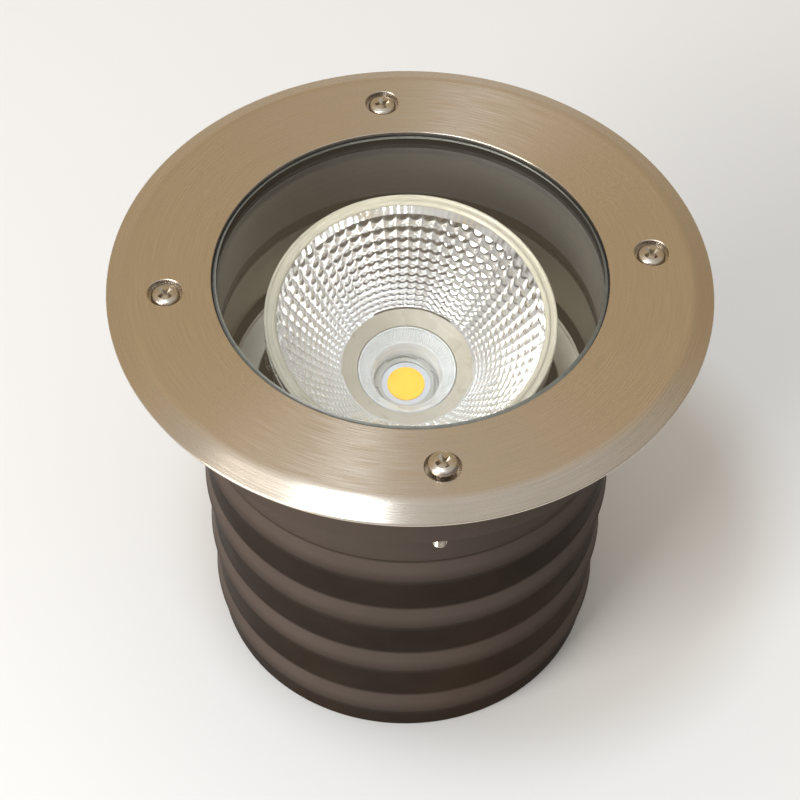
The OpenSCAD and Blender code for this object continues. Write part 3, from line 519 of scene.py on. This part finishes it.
steel_ring = brushed_ring_steel()
steel_screw = screw_steel()
steel_screw_head = screw_steel("screw_steel_in_head", True)
white_collar = plastic("collar_white", (0.58, 0.57, 0.54), 0.28, speck=0.04, Coat_Weight=0.5,
                       Subsurface_Weight=0.05, Subsurface_Scale=0.001)
looks = {
    "trim_ring": steel_ring,
    "trim_screws": steel_screw,
    "glass_lens": clear_glass(),
    "glass_gasket": rubber("gasket_rubber"),
    "housing": polished_well(),
    "flange_seal": rubber("seal_rubber"),
    "mounting_sleeve": sleeve_plastic(),
    "thread_inserts": cast_metal("insert_brass", (0.72, 0.50, 0.20), 0.32, 1.0),
    "floor_plate": plate_paint(),
    "floor_plate_screws": steel_screw,
    "gear_tray": zinc("tray_zinc"),
    "tray_screws": steel_screw,
    "swivel_bolt": zinc("bolt_zinc"),
    "swivel_nut": zinc("nut_zinc"),
    "swivel_washers": plastic("washer_white", (0.80, 0.79, 0.74)),
    "driver_case": plastic("driver_grey", (0.62, 0.62, 0.60)),
    "driver_lid": plastic("driver_lid_grey", (0.70, 0.70, 0.68), 0.4),
    "driver_screws": steel_screw,
    "terminal_block": plastic("block_white", (0.80, 0.80, 0.77), 0.38, Subsurface_Weight=0.1,
                              Subsurface_Scale=0.002),
    "earth_screw": cast_metal("earth_brass", (0.74, 0.54, 0.24), 0.3, 1.0),
    "gland_body": plastic("gland_black", (0.022, 0.022, 0.023), 0.42),
    "gland_nut": plastic("gland_cap_black", (0.026, 0.026, 0.027), 0.40),
    "gland_seal": rubber("gland_seal_rubber"),
    "gland_lock_nut": plastic("lock_nut_black", (0.024, 0.024, 0.025), 0.45),
    "gland_washer": rubber("gland_washer_rubber"),
    "yoke_bracket": cast_metal("yoke_black", (0.028, 0.026, 0.024), 0.42, 0.3),
    "pivot_washers": plastic("pivot_washer_white", (0.80, 0.79, 0.74)),
    "pivot_screws": steel_screw_head,
    "bezel_ring": painted("bezel_cream", (0.66, 0.62, 0.51), 0.34, True),
    "clamp_ring": aluminium("clamp_light", (0.74, 0.70, 0.62), 0.30, True),
    "lamp_body": cast_metal("lamp_body_black", (0.030, 0.027, 0.024), 0.38, 0.3, True),
    "reflector": mirror_metal(),
    "neck_ring": painted("neck_beige", (0.60, 0.54, 0.44), 0.38, True),
    "ribbed_collar": white_collar,
    "cob_holder": plastic("holder_white", (0.82, 0.82, 0.80), 0.4, True, speck=0.05),
    "holder_screws": steel_screw_head,
    "cob_board": white_board(),
    "emitter_disc": phosphor(),
    "thermal_pad": plastic("pad_grey", (0.20, 0.21, 0.22), 0.7, True),
    "heat_sink": aluminium("sink_aluminium", head=True),
    "heat_sink_screws": steel_screw_head,
}
for name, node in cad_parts.items():
    node.data.materials.clear()
    node.data.materials.append(looks[name])
    for polygon in node.data.polygons:
        polygon.material_index = 0

# Trim ring

BEVEL_W, BEVEL_DROP = 7.0, 3.2
REBATE_R, REBATE_H = 85.0, 0.5
OPENING_R = 65.5
SEAT_R, SEAT_H, SEAT_CHAMFER = 5.75, 2.4, 0.22
HOLE_R = 2.75

ring_outline = supported(
    soften(
        [
            (OPENING_R, z_at(RING_T)), (REBATE_R, z_at(RING_T)),
            (REBATE_R, z_at(RING_T + REBATE_H)), (RING_R, z_at(RING_T + REBATE_H)),
            (RING_R, z_at(BEVEL_DROP)), (RING_R - BEVEL_W, z_at(0)),
            (OPENING_R, z_at(0)),
        ],
        [0.12, 0.1, 0.12, 0.15, 0.5, 8.0, 0.35],
        6,
    )
)
ring = revolve("ring_plate", ring_outline, 360)
seats = []
for degrees in SCREW_ANGLES:
    a = math.radians(degrees)
    c = (SCREW_R * math.cos(a), SCREW_R * math.sin(a))
    verts, faces = [], []
    revolved(
        [
            (0, z_at(RING_T + OVER)), (HOLE_R, z_at(RING_T + OVER)), (HOLE_R, z_at(SEAT_H)),
            (SEAT_R, z_at(SEAT_H)), (SEAT_R, z_at(SEAT_CHAMFER)), (SEAT_R + SEAT_CHAMFER, z_at(0)),
            (SEAT_R + SEAT_CHAMFER, z_at(-OVER)), (0, z_at(-OVER)),
        ],
        64, verts, faces, c,
    )
    seats.append(mesh_object("seat_cutter", verts, faces))
carve(ring, seats)
smooth(ring, 28)
dress(ring, "root", steel_ring, ["trim_ring"])

# Screws


def thread(verts, faces, centre, r, top, bottom, pitch, depth):
    """A threaded shank between two heights, tapered and closed at its lower end."""
    around, per_turn = 24, 5
    tip_length, tip_share = 1.2 * r, 0.45
    rows = int((top - bottom) / pitch * per_turn)
    start = len(verts)
    for j in range(rows + 1):
        z = top + (bottom - top) * j / rows
        taper = min(1.0, (z - bottom) / tip_length + tip_share)
        for k in range(around):
            a = 2 * math.pi * k / around
            t = (z / pitch - k / around) % 1.0
            crest = 1.0 - abs(2 * t - 1)
            rr = (r - depth + depth * crest) * taper
            verts.append((centre[0] + rr * math.cos(a), centre[1] + rr * math.sin(a), z))
    for j in range(rows):
        for k in range(around):
            m = (k + 1) % around
            p, q = start + j * around, start + (j + 1) * around
            faces.append([p + k, p + m, q + m, q + k])
    tip = len(verts)
    verts.append((centre[0], centre[1], bottom))
    last = start + rows * around
    for k in range(around):
        faces.append([last + k, last + (k + 1) % around, tip])
    cap = len(verts)
    verts.append((centre[0], centre[1], top))
    for k in range(around):
        faces.append([start + (k + 1) % around, start + k, cap])


# The cross recess: its floor's share of the head's height, how far its cutter stands out, and
# half the length and width of each slot at its floor and its mouth, as shares of the radius
CROSS_FLOOR, CROSS_OVER = 0.38, 0.4
CROSS_FOOT, CROSS_MOUTH = (0.26, 0.085), (0.66, 0.17)


def pan_head(name, r, h, matrix, turn):
    """A pan head with a tapered cross recess, its seat at height 0."""
    outline = soften(
        [(0, 0), (r * 0.97, 0), (r, 0.12 * h), (r * 0.985, 0.42 * h), (r * 0.86, 0.76 * h),
         (r * 0.60, 0.94 * h), (r * 0.3, h), (0, h)],
        [0, 0.05, 0.1, 0.8, 0.9, 1.2, 1.5, 0],
        3,
    )
    head = revolve(name, outline, 64)
    cutters = []
    for quarter in (0, 1):
        a = math.radians(turn + 90 * quarter)
        verts = []
        for z, shares in ((h * CROSS_FLOOR, CROSS_FOOT), (h + CROSS_OVER, CROSS_MOUTH)):
            long, wide = (share * r for share in shares)
            for x, y in ((-long, -wide), (long, -wide), (long, wide), (-long, wide)):
                across = x * math.cos(a) - y * math.sin(a)
                verts.append((across, x * math.sin(a) + y * math.cos(a), z))
        cutters.append(mesh_object("cross_cutter", verts, [
            [0, 3, 2, 1], [4, 5, 6, 7], [0, 1, 5, 4], [1, 2, 6, 5], [2, 3, 7, 6], [3, 0, 4, 7]
        ]))
    carve(head, cutters)
    smooth(head, 30)
    head.matrix_world = matrix
    return head


def joined(name, objects):
    """One mesh object out of several, with their places kept."""
    bm = bmesh.new()
    for o in objects:
        m = o.data.copy()
        m.transform(o.matrix_world)
        bm.from_mesh(m)
        bpy.data.meshes.remove(m)
    mesh = bpy.data.meshes.new(name)
    bm.to_mesh(mesh)
    bm.free()
    for o in objects:
        bpy.data.objects.remove(o)
    whole = bpy.data.objects.new(name, mesh)
    bpy.context.scene.collection.objects.link(whole)
    return whole


SCREW_TURNS = (28.0, 12.0, 40.0, 22.0)
PAN_R, PAN_H = 4.8, 2.4
SHANK_R, SHANK_L, SHANK_SUNK = 2.5, 42.0, 0.1
THREAD_PITCH, THREAD_DEPTH = 0.8, 0.42
for i, (degrees, lift, turn) in enumerate(zip(SCREW_ANGLES, SCREW_LIFTS, SCREW_TURNS)):
    a = math.radians(degrees)
    c = (SCREW_R * math.cos(a), SCREW_R * math.sin(a))
    seat = z_at(SEAT_H) + lift
    place = Matrix.Translation((c[0] * MM, c[1] * MM, seat * MM))
    head = pan_head("pan_head", PAN_R, PAN_H, place, turn)
    verts, faces = [], []
    thread(verts, faces, c, SHANK_R, seat + SHANK_SUNK, seat - SHANK_L, THREAD_PITCH, THREAD_DEPTH)
    shank = smooth(mesh_object("shank", verts, faces), 60)
    screw = joined("ring_screw_%d" % i, [head, shank])
    dress(screw, "root", steel_screw, ["trim_screws"])

# Glass

GLASS_R, GLASS_FLANGE_R, GLASS_CHAMFER = 64.95, 70.0, 1.0
GLASS_TOP, GLASS_SHELF, GLASS_BOTTOM = 0.5, 4.3, 8.5
FLAT_NORMAL = 0.9
glass = revolve(
    "glass_disc",
    [
        (0, z_at(GLASS_BOTTOM)), (GLASS_FLANGE_R, z_at(GLASS_BOTTOM)),
        (GLASS_FLANGE_R, z_at(GLASS_SHELF)), (GLASS_R, z_at(GLASS_SHELF)),
        (GLASS_R, z_at(GLASS_TOP + GLASS_CHAMFER)), (GLASS_R - GLASS_CHAMFER, z_at(GLASS_TOP)),
        (0, z_at(GLASS_TOP)),
    ],
    256,
)
smooth(glass, 20)
dress(glass, "root", [looks["glass_lens"], ground_glass()], ["glass_lens"])
for p in glass.data.polygons:
    p.material_index = 1 if abs(p.normal.z) < FLAT_NORMAL else 0

# Sleeve

COLLAR_R, COLLAR_WALL, COLLAR_EDGE = 84.5, 2.4, 0.8
COLLAR_TOP, COLLAR_FLOOR, COLLAR_DEPTH = 3.8, 32.5, 35.0
RIB_COUNT, RIB_SLOPE, RIB_OUT, RIB_EDGE, RIB_EDGE_SHARE = 4, 10.5, 1.5, 1, 0.55
BEAD, BEAD_HEIGHTS, BEAD_FOOT = 0.4, (0.9, 0.2), 1.6
TOP_D, BOTTOM_D = 147.6, 142.2
WALL = 3.0


def crest_r(depth):
    return (TOP_D + (BOTTOM_D - TOP_D) * (depth - RIB_FIRST) / (TOTAL_H - RIB_FIRST)) / 2


def root_r(depth):
    return crest_r(depth) - RIB_OUT


outer = [
    (COLLAR_R - COLLAR_WALL, z_at(COLLAR_TOP)), (COLLAR_R, z_at(COLLAR_TOP)),
    (COLLAR_R, z_at(COLLAR_DEPTH - COLLAR_EDGE)), (COLLAR_R - COLLAR_EDGE, z_at(COLLAR_DEPTH)),
    (root_r(COLLAR_DEPTH), z_at(COLLAR_DEPTH)),
]
radii = [0.3, 0.3, 0.5, 0.4, 0.8]
outer.append((root_r(RIB_FIRST - BEAD_FOOT), z_at(RIB_FIRST - BEAD_FOOT)))
radii.append(0.4)
for height in BEAD_HEIGHTS:
    outer.append((root_r(RIB_FIRST - height) + BEAD, z_at(RIB_FIRST - height)))
    radii.append(0.35)
for i in range(RIB_COUNT):
    top = RIB_FIRST + i * RIB_PITCH
    low = top + RIB_SLOPE
    outer += [(root_r(top), z_at(top)), (crest_r(low), z_at(low)),
              (crest_r(low) - RIB_EDGE_SHARE * RIB_OUT, z_at(low + RIB_EDGE))]
    radii += [0.6, 6.0, 0.5]
outer += [
    (root_r(TOTAL_H), z_at(TOTAL_H)), (BOTTOM_D / 2 - RIB_OUT - WALL, z_at(TOTAL_H)),
    (TOP_D / 2 - RIB_OUT - WALL, z_at(COLLAR_FLOOR)), (COLLAR_R - COLLAR_WALL, z_at(COLLAR_FLOOR)),
]
radii += [0.6, 0.5, 0.5, 0.5]
sleeve = revolve("sleeve_ribbed", supported(soften(outer, radii, 4), 3.0, 0.4), 288)

# The cable notch, cut through the back wall
NOTCH_R, NOTCH_H, NOTCH_STEPS = 12.0, 18.0, 24
NOTCH_Y = (40.0, 90.0)
shape = [(-NOTCH_R, -OVER), (NOTCH_R, -OVER)]
for k in range(NOTCH_STEPS + 1):
    a = math.pi * k / NOTCH_STEPS
    shape.append((NOTCH_R * math.cos(a), NOTCH_H - NOTCH_R + NOTCH_R * math.sin(a)))
verts = [(x, y, z) for y in NOTCH_Y for x, z in shape]
n = len(shape)
faces = [list(range(n)), list(range(2 * n - 1, n - 1, -1))]
faces += [[k, (k + 1) % n, n + (k + 1) % n, n + k] for k in range(n)]
carve(sleeve, [mesh_object("notch_cutter", verts, faces)])
smooth(sleeve, 40)

# The columns that hold the inserts of the ring's screws
COLUMN_BORE_R, COLUMN_INSERT_R, COLUMN_R = 2.6, 3.4, 4.9
COLUMN_TOP, COLUMN_SHELF, COLUMN_BOTTOM = 3.9, 13.8, 34.0
COLUMN_AT = SCREW_R - 1.4
columns = []
for degrees in SCREW_ANGLES:
    a = math.radians(degrees)
    verts, faces = [], []
    revolved(
        [
            (COLUMN_BORE_R, z_at(COLUMN_BOTTOM)), (COLUMN_R, z_at(COLUMN_BOTTOM)),
            (COLUMN_R, z_at(COLUMN_TOP)), (COLUMN_INSERT_R, z_at(COLUMN_TOP)),
            (COLUMN_INSERT_R, z_at(COLUMN_SHELF)), (COLUMN_BORE_R, z_at(COLUMN_SHELF)),
        ],
        48, verts, faces, (COLUMN_AT * math.cos(a), COLUMN_AT * math.sin(a)),
    )
    columns.append(smooth(mesh_object("column", verts, faces)))
sleeve = joined("sleeve_ribbed_body", [sleeve] + columns)
dress(sleeve, "root", looks["mounting_sleeve"], ["mounting_sleeve"])

# Floor plate

PLATE_IN, PLATE_OUT, PLATE_RIM_FOOT, PLATE_RIM_TOP = 53.0, 62.4, 61.2, 61.5
PLATE_RIM, PLATE_FACE, PLATE_UNDER = 62.0, 62.7, 64.2
plate = revolve(
    "well_floor_plate",
    supported(soften(
        [
            (PLATE_IN, z_at(PLATE_UNDER)), (PLATE_OUT, z_at(PLATE_UNDER)),
            (PLATE_OUT, z_at(PLATE_RIM)), (PLATE_RIM_TOP, z_at(PLATE_RIM)),
            (PLATE_RIM_FOOT, z_at(PLATE_FACE)), (PLATE_IN, z_at(PLATE_FACE)),
        ],
        [0.2, 0.1, 0.4, 0.3, 0.4, 0.4], 4,
    )),
    256,
)
smooth(plate, 35)
dress(plate, "root", looks["floor_plate"], ["floor_plate"])

# Lamp head


def tube_faces(count, around):
    """Faces between count rings of around points each; the last ring joins the first."""
    faces = []
    for j in range(count):
        p, q = j * around, ((j + 1) % count) * around
        for k in range(around):
            m = (k + 1) % around
            faces.append([p + k, p + m, q + m, q + k])
    return faces


BEZEL_R, BEZEL_IN, BEZEL_T = 49.2, 45.05, 1.2
CLAMP_IN, CLAMP_TOP, CLAMP_BOTTOM = 48.42, 4.6, 5.4
MOUTH_R, NECK_R = 44.9, 22.7
MOUTH_DROP, NECK_DROP = 0.8, 32.7
BAND_H, ROW_END_SHARE = 2.7, 0.985
ROW_START = MOUTH_DROP + BAND_H
ROW_END = MOUTH_DROP + ROW_END_SHARE * (NECK_DROP - MOUTH_DROP)
ROW_RATIO, FACET_RISE = 0.89, 0.10
COLS, ROWS, FINE = 60, 12, 6

bezel = revolve(
    "bezel_grooved",
    soften(
        [
            (BEZEL_IN, head_z(BEZEL_T)), (BEZEL_R, head_z(BEZEL_T)), (BEZEL_R, head_z(0.35)),
            (48.85, head_z(0)), (48.35, head_z(0)), (47.9, head_z(0.42)), (46.9, head_z(0.42)),
            (46.4, head_z(0.03)), (45.6, head_z(0.12)), (BEZEL_IN, head_z(0.6)),
        ],
        [0.1, 0.1, 0.3, 0.25, 0.3, 0.35, 0.35, 0.3, 0.35, 0.2], 4,
    ),
    256, HEAD,
)
smooth(bezel, 40)
bezel_cream = painted("bezel_cream_piece", (0.46, 0.42, 0.325), 0.32)
dress(bezel, "head", bezel_cream, ["bezel_ring"])

clamp = revolve(
    "clamp_bead",
    soften(
        [
            (CLAMP_IN, head_z(CLAMP_BOTTOM)), (BEZEL_R, head_z(CLAMP_BOTTOM)),
            (BEZEL_R, head_z(CLAMP_TOP)), (CLAMP_IN, head_z(CLAMP_TOP)),
        ],
        0.28, 4,
    ),
    256, HEAD,
)
smooth(clamp, 40)
clamp_light = aluminium("clamp_light_piece", (0.74, 0.70, 0.62), 0.28)
dress(clamp, "head", clamp_light, ["clamp_ring"])


def bowl_r(drop):
    share = (drop - MOUTH_DROP) / (NECK_DROP - MOUTH_DROP)
    return math.sqrt(MOUTH_R ** 2 + (NECK_R ** 2 - MOUTH_R ** 2) * share)


def row_drop(i):
    """Drop of the top of facet row i; the rows get lower towards the neck."""
    return ROW_START + (ROW_END - ROW_START) * (1 - ROW_RATIO ** i) / (1 - ROW_RATIO ** ROWS)


BAND_STEPS = 4
around = COLS * FINE
rows = []
for j in range(BAND_STEPS):
    rows.append((MOUTH_DROP + (ROW_START - MOUTH_DROP) * j / BAND_STEPS, 0.0, 0.0))
for i in range(ROWS):
    top, low = row_drop(i), row_drop(i + 1)
    for j in range(FINE):
        rows.append((top + (low - top) * j / FINE, j / FINE, FACET_RISE * (low - top)))
rows += [(ROW_END, 0.0, 0.0), ((ROW_END + NECK_DROP) / 2, 0.0, 0.0), (NECK_DROP, 0.0, 0.0)]
verts = []
for drop, v, rise in rows:
    slope = (NECK_R ** 2 - MOUTH_R ** 2) / (NECK_DROP - MOUTH_DROP) / (2 * bowl_r(drop))
    length = math.hypot(1, slope)
    for k in range(around):
        u = (k % FINE) / FINE
        pillow = rise * 16 * u * (1 - u) * v * (1 - v)
        r = bowl_r(drop) - pillow
        z = head_z(drop) - pillow * slope
        a = 2 * math.pi * k / around
        verts.append((r * math.cos(a), r * math.sin(a), z))
BOWL_WALL, BOWL_FLANGE_R, SHOULDER_DROP = 1.3, 47.2, 2.5
OUTER_DROPS = (NECK_DROP, 28.0, 23.0, 18.0, 13.0, 8.0, 4.0, SHOULDER_DROP)
outside = [(bowl_r(drop) + BOWL_WALL, drop) for drop in OUTER_DROPS]
outside += [
    (BOWL_FLANGE_R, SHOULDER_DROP), (BOWL_FLANGE_R, BEZEL_T), (MOUTH_R + 0.1, BEZEL_T),
    (MOUTH_R + 0.08, MOUTH_DROP + 0.05),
]
for r, drop in outside:
    for k in range(around):
        a = 2 * math.pi * k / around
        verts.append((r * math.cos(a), r * math.sin(a), head_z(drop)))
faces = tube_faces(len(verts) // around, around)
bowl = mesh_object("reflector_bowl", verts, faces, HEAD)
smooth(bowl, 50)
bm = bmesh.new()
bm.from_mesh(bowl.data)
bm.verts.ensure_lookup_table()
for e in bm.edges:
    i, j = (v.index for v in e.verts)
    row_i, col_i, row_j, col_j = i // around, i % around, j // around, j % around
    if min(row_i, row_j) >= BAND_STEPS and max(row_i, row_j) <= BAND_STEPS + ROWS * FINE:
        if row_i == row_j and (row_i - BAND_STEPS) % FINE == 0:
            e.smooth = False
        if col_i == col_j and col_i % FINE == 0:
            e.smooth = False
bm.to_mesh(bowl.data)
bm.free()
dress(bowl, "head", looks["reflector"], ["reflector"])

NECK_IN, NECK_OUT, NECK_IN_DROP, HOLDER_DROP = 17.3, 25.6, 35.2, 41.0
neck = revolve(
    "neck_ring_satin",
    supported(soften(
        [
            (NECK_IN, head_z(HOLDER_DROP)), (NECK_OUT, head_z(HOLDER_DROP)),
            (NECK_OUT, head_z(NECK_DROP)), (NECK_R - 0.1, head_z(NECK_DROP)),
            (NECK_IN, head_z(NECK_IN_DROP)),
        ],
        [0.1, 0.2, 0.2, 0.35, 0.35], 4,
    ), 2.0, 0.3),
    192, HEAD,
)
smooth(neck, 40)
neck_beige = painted("neck_beige_piece", (0.40, 0.355, 0.275), 0.30)
dress(neck, "head", neck_beige, ["neck_ring"])

# The white collar: a scalloped lip, a finely ribbed slope and a smooth throat
RIBS, RIB_POINTS, RIB_H = 116, 6, 0.30
RIB_INWARD, RIB_UPWARD, LIP_UPWARD, LIP_POINTS = 0.6, 0.6, 0.2, 4
FUNNEL_R = 17.15
around = RIBS * RIB_POINTS
# Each point has its radius, its drop and the share of the ribs' height that it gets
path = [
    (FUNNEL_R, 36.2, 0), (FUNNEL_R, 35.5, 0.4), (16.95, 35.2, 1), (16.6, 35.25, 1), (16.4, 35.6, 1),
    (16.3, 35.9, 0.2), (15.9, 36.2, 1), (15.2, 36.85, 1), (14.4, 37.6, 1), (13.6, 38.35, 1),
    (13.1, 38.8, 0.4), (12.9, 38.9, 0), (12.7, 38.95, 0), (12.55, 39.2, 0), (12.2, 39.9, 0),
    (11.9, 40.5, 0), (11.7, HOLDER_DROP, 0), (FUNNEL_R, HOLDER_DROP, 0),
]
verts = []
for j, (r, drop, ribbed) in enumerate(path):
    upward = LIP_UPWARD if j < LIP_POINTS else RIB_UPWARD
    for k in range(around):
        wave = 0.5 + 0.5 * math.cos(2 * math.pi * k / RIB_POINTS)
        lift = RIB_H * ribbed * wave
        a = 2 * math.pi * k / around
        rr = r - lift * RIB_INWARD
        verts.append((rr * math.cos(a), rr * math.sin(a), head_z(drop) + lift * upward))
collar = mesh_object("ribbed_collar_piece", verts, tube_faces(len(path), around), HEAD)
smooth(collar, 60)
dress(collar, "head", white_collar, ["ribbed_collar"])

# The seat round the light source, with its three open slots
SLOTS = ((184, 258), (-26, 22), (62, 122))
SLOT_DEPTH, SLOT_POINTS = 0.75, (4, 5)
BASE_DROP, FACE_DROP = 46.05, 45.2
around = 360
path = [(8.6, BASE_DROP), (8.6, FACE_DROP + 0.15)]
path += [(r, FACE_DROP) for r in (8.9, 9.9, 9.95, 10.65, 10.7, 11.2)]
path.append((11.2, BASE_DROP))
verts = []
for j, (r, drop) in enumerate(path):
    for k in range(around):
        a = 2 * math.pi * k / around
        deep = j in SLOT_POINTS and any((k - lo) % around <= hi - lo for lo, hi in SLOTS)
        verts.append((r * math.cos(a), r * math.sin(a), head_z(drop + (SLOT_DEPTH if deep else 0))))
seat_ring = mesh_object("source_seat", verts, tube_faces(len(path), around), HEAD)
smooth(seat_ring, 30)
seat_white = plastic("seat_white", (0.385, 0.37, 0.325), 0.35, speck=0.04)
dress(seat_ring, "head", seat_white)

EMITTER_R, EMITTER_BASE = 6.6, 46.1
emitter = revolve(
    "emitter_pad",
    soften(
        [
            (0, head_z(EMITTER_BASE)), (EMITTER_R, head_z(EMITTER_BASE)), (EMITTER_R, head_z(45.8)),
            (EMITTER_R - 0.3, head_z(45.7)), (0, head_z(45.66)),
        ],
        [0, 0.05, 0.12, 0.3, 0], 4,
    ),
    128, HEAD,
)
smooth(emitter, 40)
dress(emitter, "head", looks["emitter_disc"], ["emitter_disc"])

# Stage

FLOOR_R, FLOOR_GAP = 9.0, 0.0004
floor_mesh = bpy.data.meshes.new("floor")
floor_bm = bmesh.new()
bmesh.ops.create_circle(floor_bm, cap_ends=True, segments=96, radius=FLOOR_R)
floor_bm.to_mesh(floor_mesh)
floor_bm.free()
floor = bpy.data.objects.new("floor", floor_mesh)
floor.location = (0, 0, -FLOOR_GAP)
bpy.context.scene.collection.objects.link(floor)
floor_look = Look("floor_pale", (0.79, 0.795, 0.80), 0.0, 0.55)
floor_look.mottle(3.0, 0.015)
floor_mesh.materials.append(floor_look.mat)

world = bpy.data.worlds.new("studio")
bpy.context.scene.world = world
world.use_nodes = True
wt = world.node_tree
place = wt.nodes.new("ShaderNodeTexCoord")
split = wt.nodes.new("ShaderNodeSeparateXYZ")


def world_ramp(socket, from_low, from_high, to_low, to_high):
    m = wt.nodes.new("ShaderNodeMapRange")
    m.inputs["From Min"].default_value = from_low
    m.inputs["From Max"].default_value = from_high
    m.inputs["To Min"].default_value = to_low
    m.inputs["To Max"].default_value = to_high
    wt.links.new(socket, m.inputs["Value"])
    return m.outputs["Result"]


def world_math(operation, a, b):
    m = wt.nodes.new("ShaderNodeMath")
    m.operation = operation
    wt.links.new(a, m.inputs[0])
    wt.links.new(b, m.inputs[1])
    return m.outputs[0]


wt.links.new(place.outputs["Generated"], split.inputs[0])
x_way, y_way, z_way = split.outputs

# The room's light by direction: it climbs to the zenith, is dim in front and glows low at the sides
climb = world_math("ADD", world_ramp(z_way, 0.12, 0.42, 0.10, 0.50),
                   world_ramp(z_way, 0.42, 0.95, 0.0, 0.20))
dark_front = world_ramp(y_way, -0.95, -0.45, 0.3, 1.0)
upper = world_math("MULTIPLY", world_math("MULTIPLY", climb, dark_front),
                   world_ramp(x_way, -0.9, 0.9, 1.10, 0.90))
zenith = world_math("MULTIPLY", world_ramp(z_way, 0.86, 1.0, 0.0, 0.60),
                    world_ramp(x_way, -0.30, -0.05, 1.0, 0.1))
across = world_math("SUBTRACT", world_ramp(x_way, -1.0, 1.0, -0.6, 0.6),
                    world_ramp(y_way, -1.0, 1.0, -0.8, 0.8))
lower = world_math("MULTIPLY", world_ramp(z_way, 0.0, 0.45, 0.5, 0.0),
                   world_ramp(across, -0.7, 0.6, 1.5, 0.05))
front_glow = world_math("MULTIPLY", world_ramp(y_way, -0.8, -0.45, 0.75, 0.0),
                        world_math("MULTIPLY", world_ramp(z_way, 0.34, 0.48, 0.0, 1.0),
                                   world_ramp(z_way, 0.62, 0.80, 1.0, 0.0)))
glow = world_math("ADD", world_math("ADD", upper, zenith), world_math("ADD", lower, front_glow))
tan_back = world_math("MULTIPLY", world_ramp(y_way, 0.0, 0.35, 0.0, 1.0),
                      world_ramp(z_way, 0.82, 0.95, 1.0, 0.0))
red_front = world_math("MULTIPLY", world_ramp(y_way, -0.9, -0.6, 1.0, 0.0),
                       world_ramp(z_way, 0.25, 0.4, 1.0, 0.0))


def world_mix(fac, under, color):
    """The colour under, or a socket that carries it, with another mixed over it by fac."""
    m = wt.nodes.new("ShaderNodeMix")
    m.data_type = "RGBA"
    wt.links.new(fac, m.inputs[0])
    if isinstance(under, tuple):
        m.inputs[6].default_value = (*under, 1)
    else:
        wt.links.new(under, m.inputs[6])
    m.inputs[7].default_value = (*color, 1)
    return m.outputs[2]


warm_back = world_mix(tan_back, (1.0, 0.985, 0.965), (1.0, 0.80, 0.53))
hue = world_mix(red_front, warm_back, (1.0, 0.66, 0.46))
background = wt.nodes["Background"]
wt.links.new(hue, background.inputs["Color"])
wt.links.new(glow, background.inputs["Strength"])


def softbox(name, place, target, width, height, watts, color):
    light = bpy.data.lights.new(name, "AREA")
    light.shape = "RECTANGLE"
    light.size, light.size_y = width, height
    light.energy = watts
    light.color = color
    o = bpy.data.objects.new(name, light)
    bpy.context.scene.collection.objects.link(o)
    o.location = place
    o.rotation_euler = (Vector(target) - Vector(place)).to_track_quat("-Z", "Y").to_euler()


softbox("key_above", (-0.33, -0.22, 1.74), (0, 0, 0.15), 0.30, 0.30, 8, (0.86, 0.97, 1.12))
softbox("fill_left", (-1.37, -0.93, 0.9), (0, 0, 0.08), 1.0, 1.0, 31, (1.0, 0.96, 0.90))

# Camera, solved from the photograph: its direction, distance and focal length in pixels

IMAGE_PX, SENSOR_MM = 800, 36.0
ELEVATION, DISTANCE, FOCAL_PX = math.radians(47.82), 0.745, 2264.0
AZIMUTH = math.radians(-8.1)
OFF_X, OFF_Y, ROLL = 7.6, -127.8, math.radians(-1.34)
back = Vector((math.sin(AZIMUTH) * math.cos(ELEVATION), -math.cos(AZIMUTH) * math.cos(ELEVATION),
               math.sin(ELEVATION)))
right = Vector((math.cos(AZIMUTH), math.sin(AZIMUTH), 0))
up = back.cross(right)
ahead = -back
pan, tip = math.atan2(OFF_X, FOCAL_PX), math.atan2(-OFF_Y, FOCAL_PX)
x1 = right * math.cos(pan) + ahead * math.sin(pan)
z1 = -right * math.sin(pan) + ahead * math.cos(pan)
y1 = up * math.cos(tip) + z1 * math.sin(tip)
z2 = -up * math.sin(tip) + z1 * math.cos(tip)
x2 = x1 * math.cos(ROLL) - y1 * math.sin(ROLL)
y2 = x1 * math.sin(ROLL) + y1 * math.cos(ROLL)
camera_data = bpy.data.cameras.new("camera")
camera_data.sensor_width = SENSOR_MM
camera_data.lens = FOCAL_PX / IMAGE_PX * SENSOR_MM
camera_data.clip_start, camera_data.clip_end = 0.01, 50
camera = bpy.data.objects.new("camera", camera_data)
bpy.context.scene.collection.objects.link(camera)
turn = Matrix((x2, y2, -z2)).transposed().to_4x4()
camera.matrix_world = Matrix.Translation(Vector((0, 0, TOTAL_H * MM)) + back * DISTANCE) @ turn
bpy.context.scene.camera = camera
bpy.context.scene.view_settings.view_transform = "Standard"
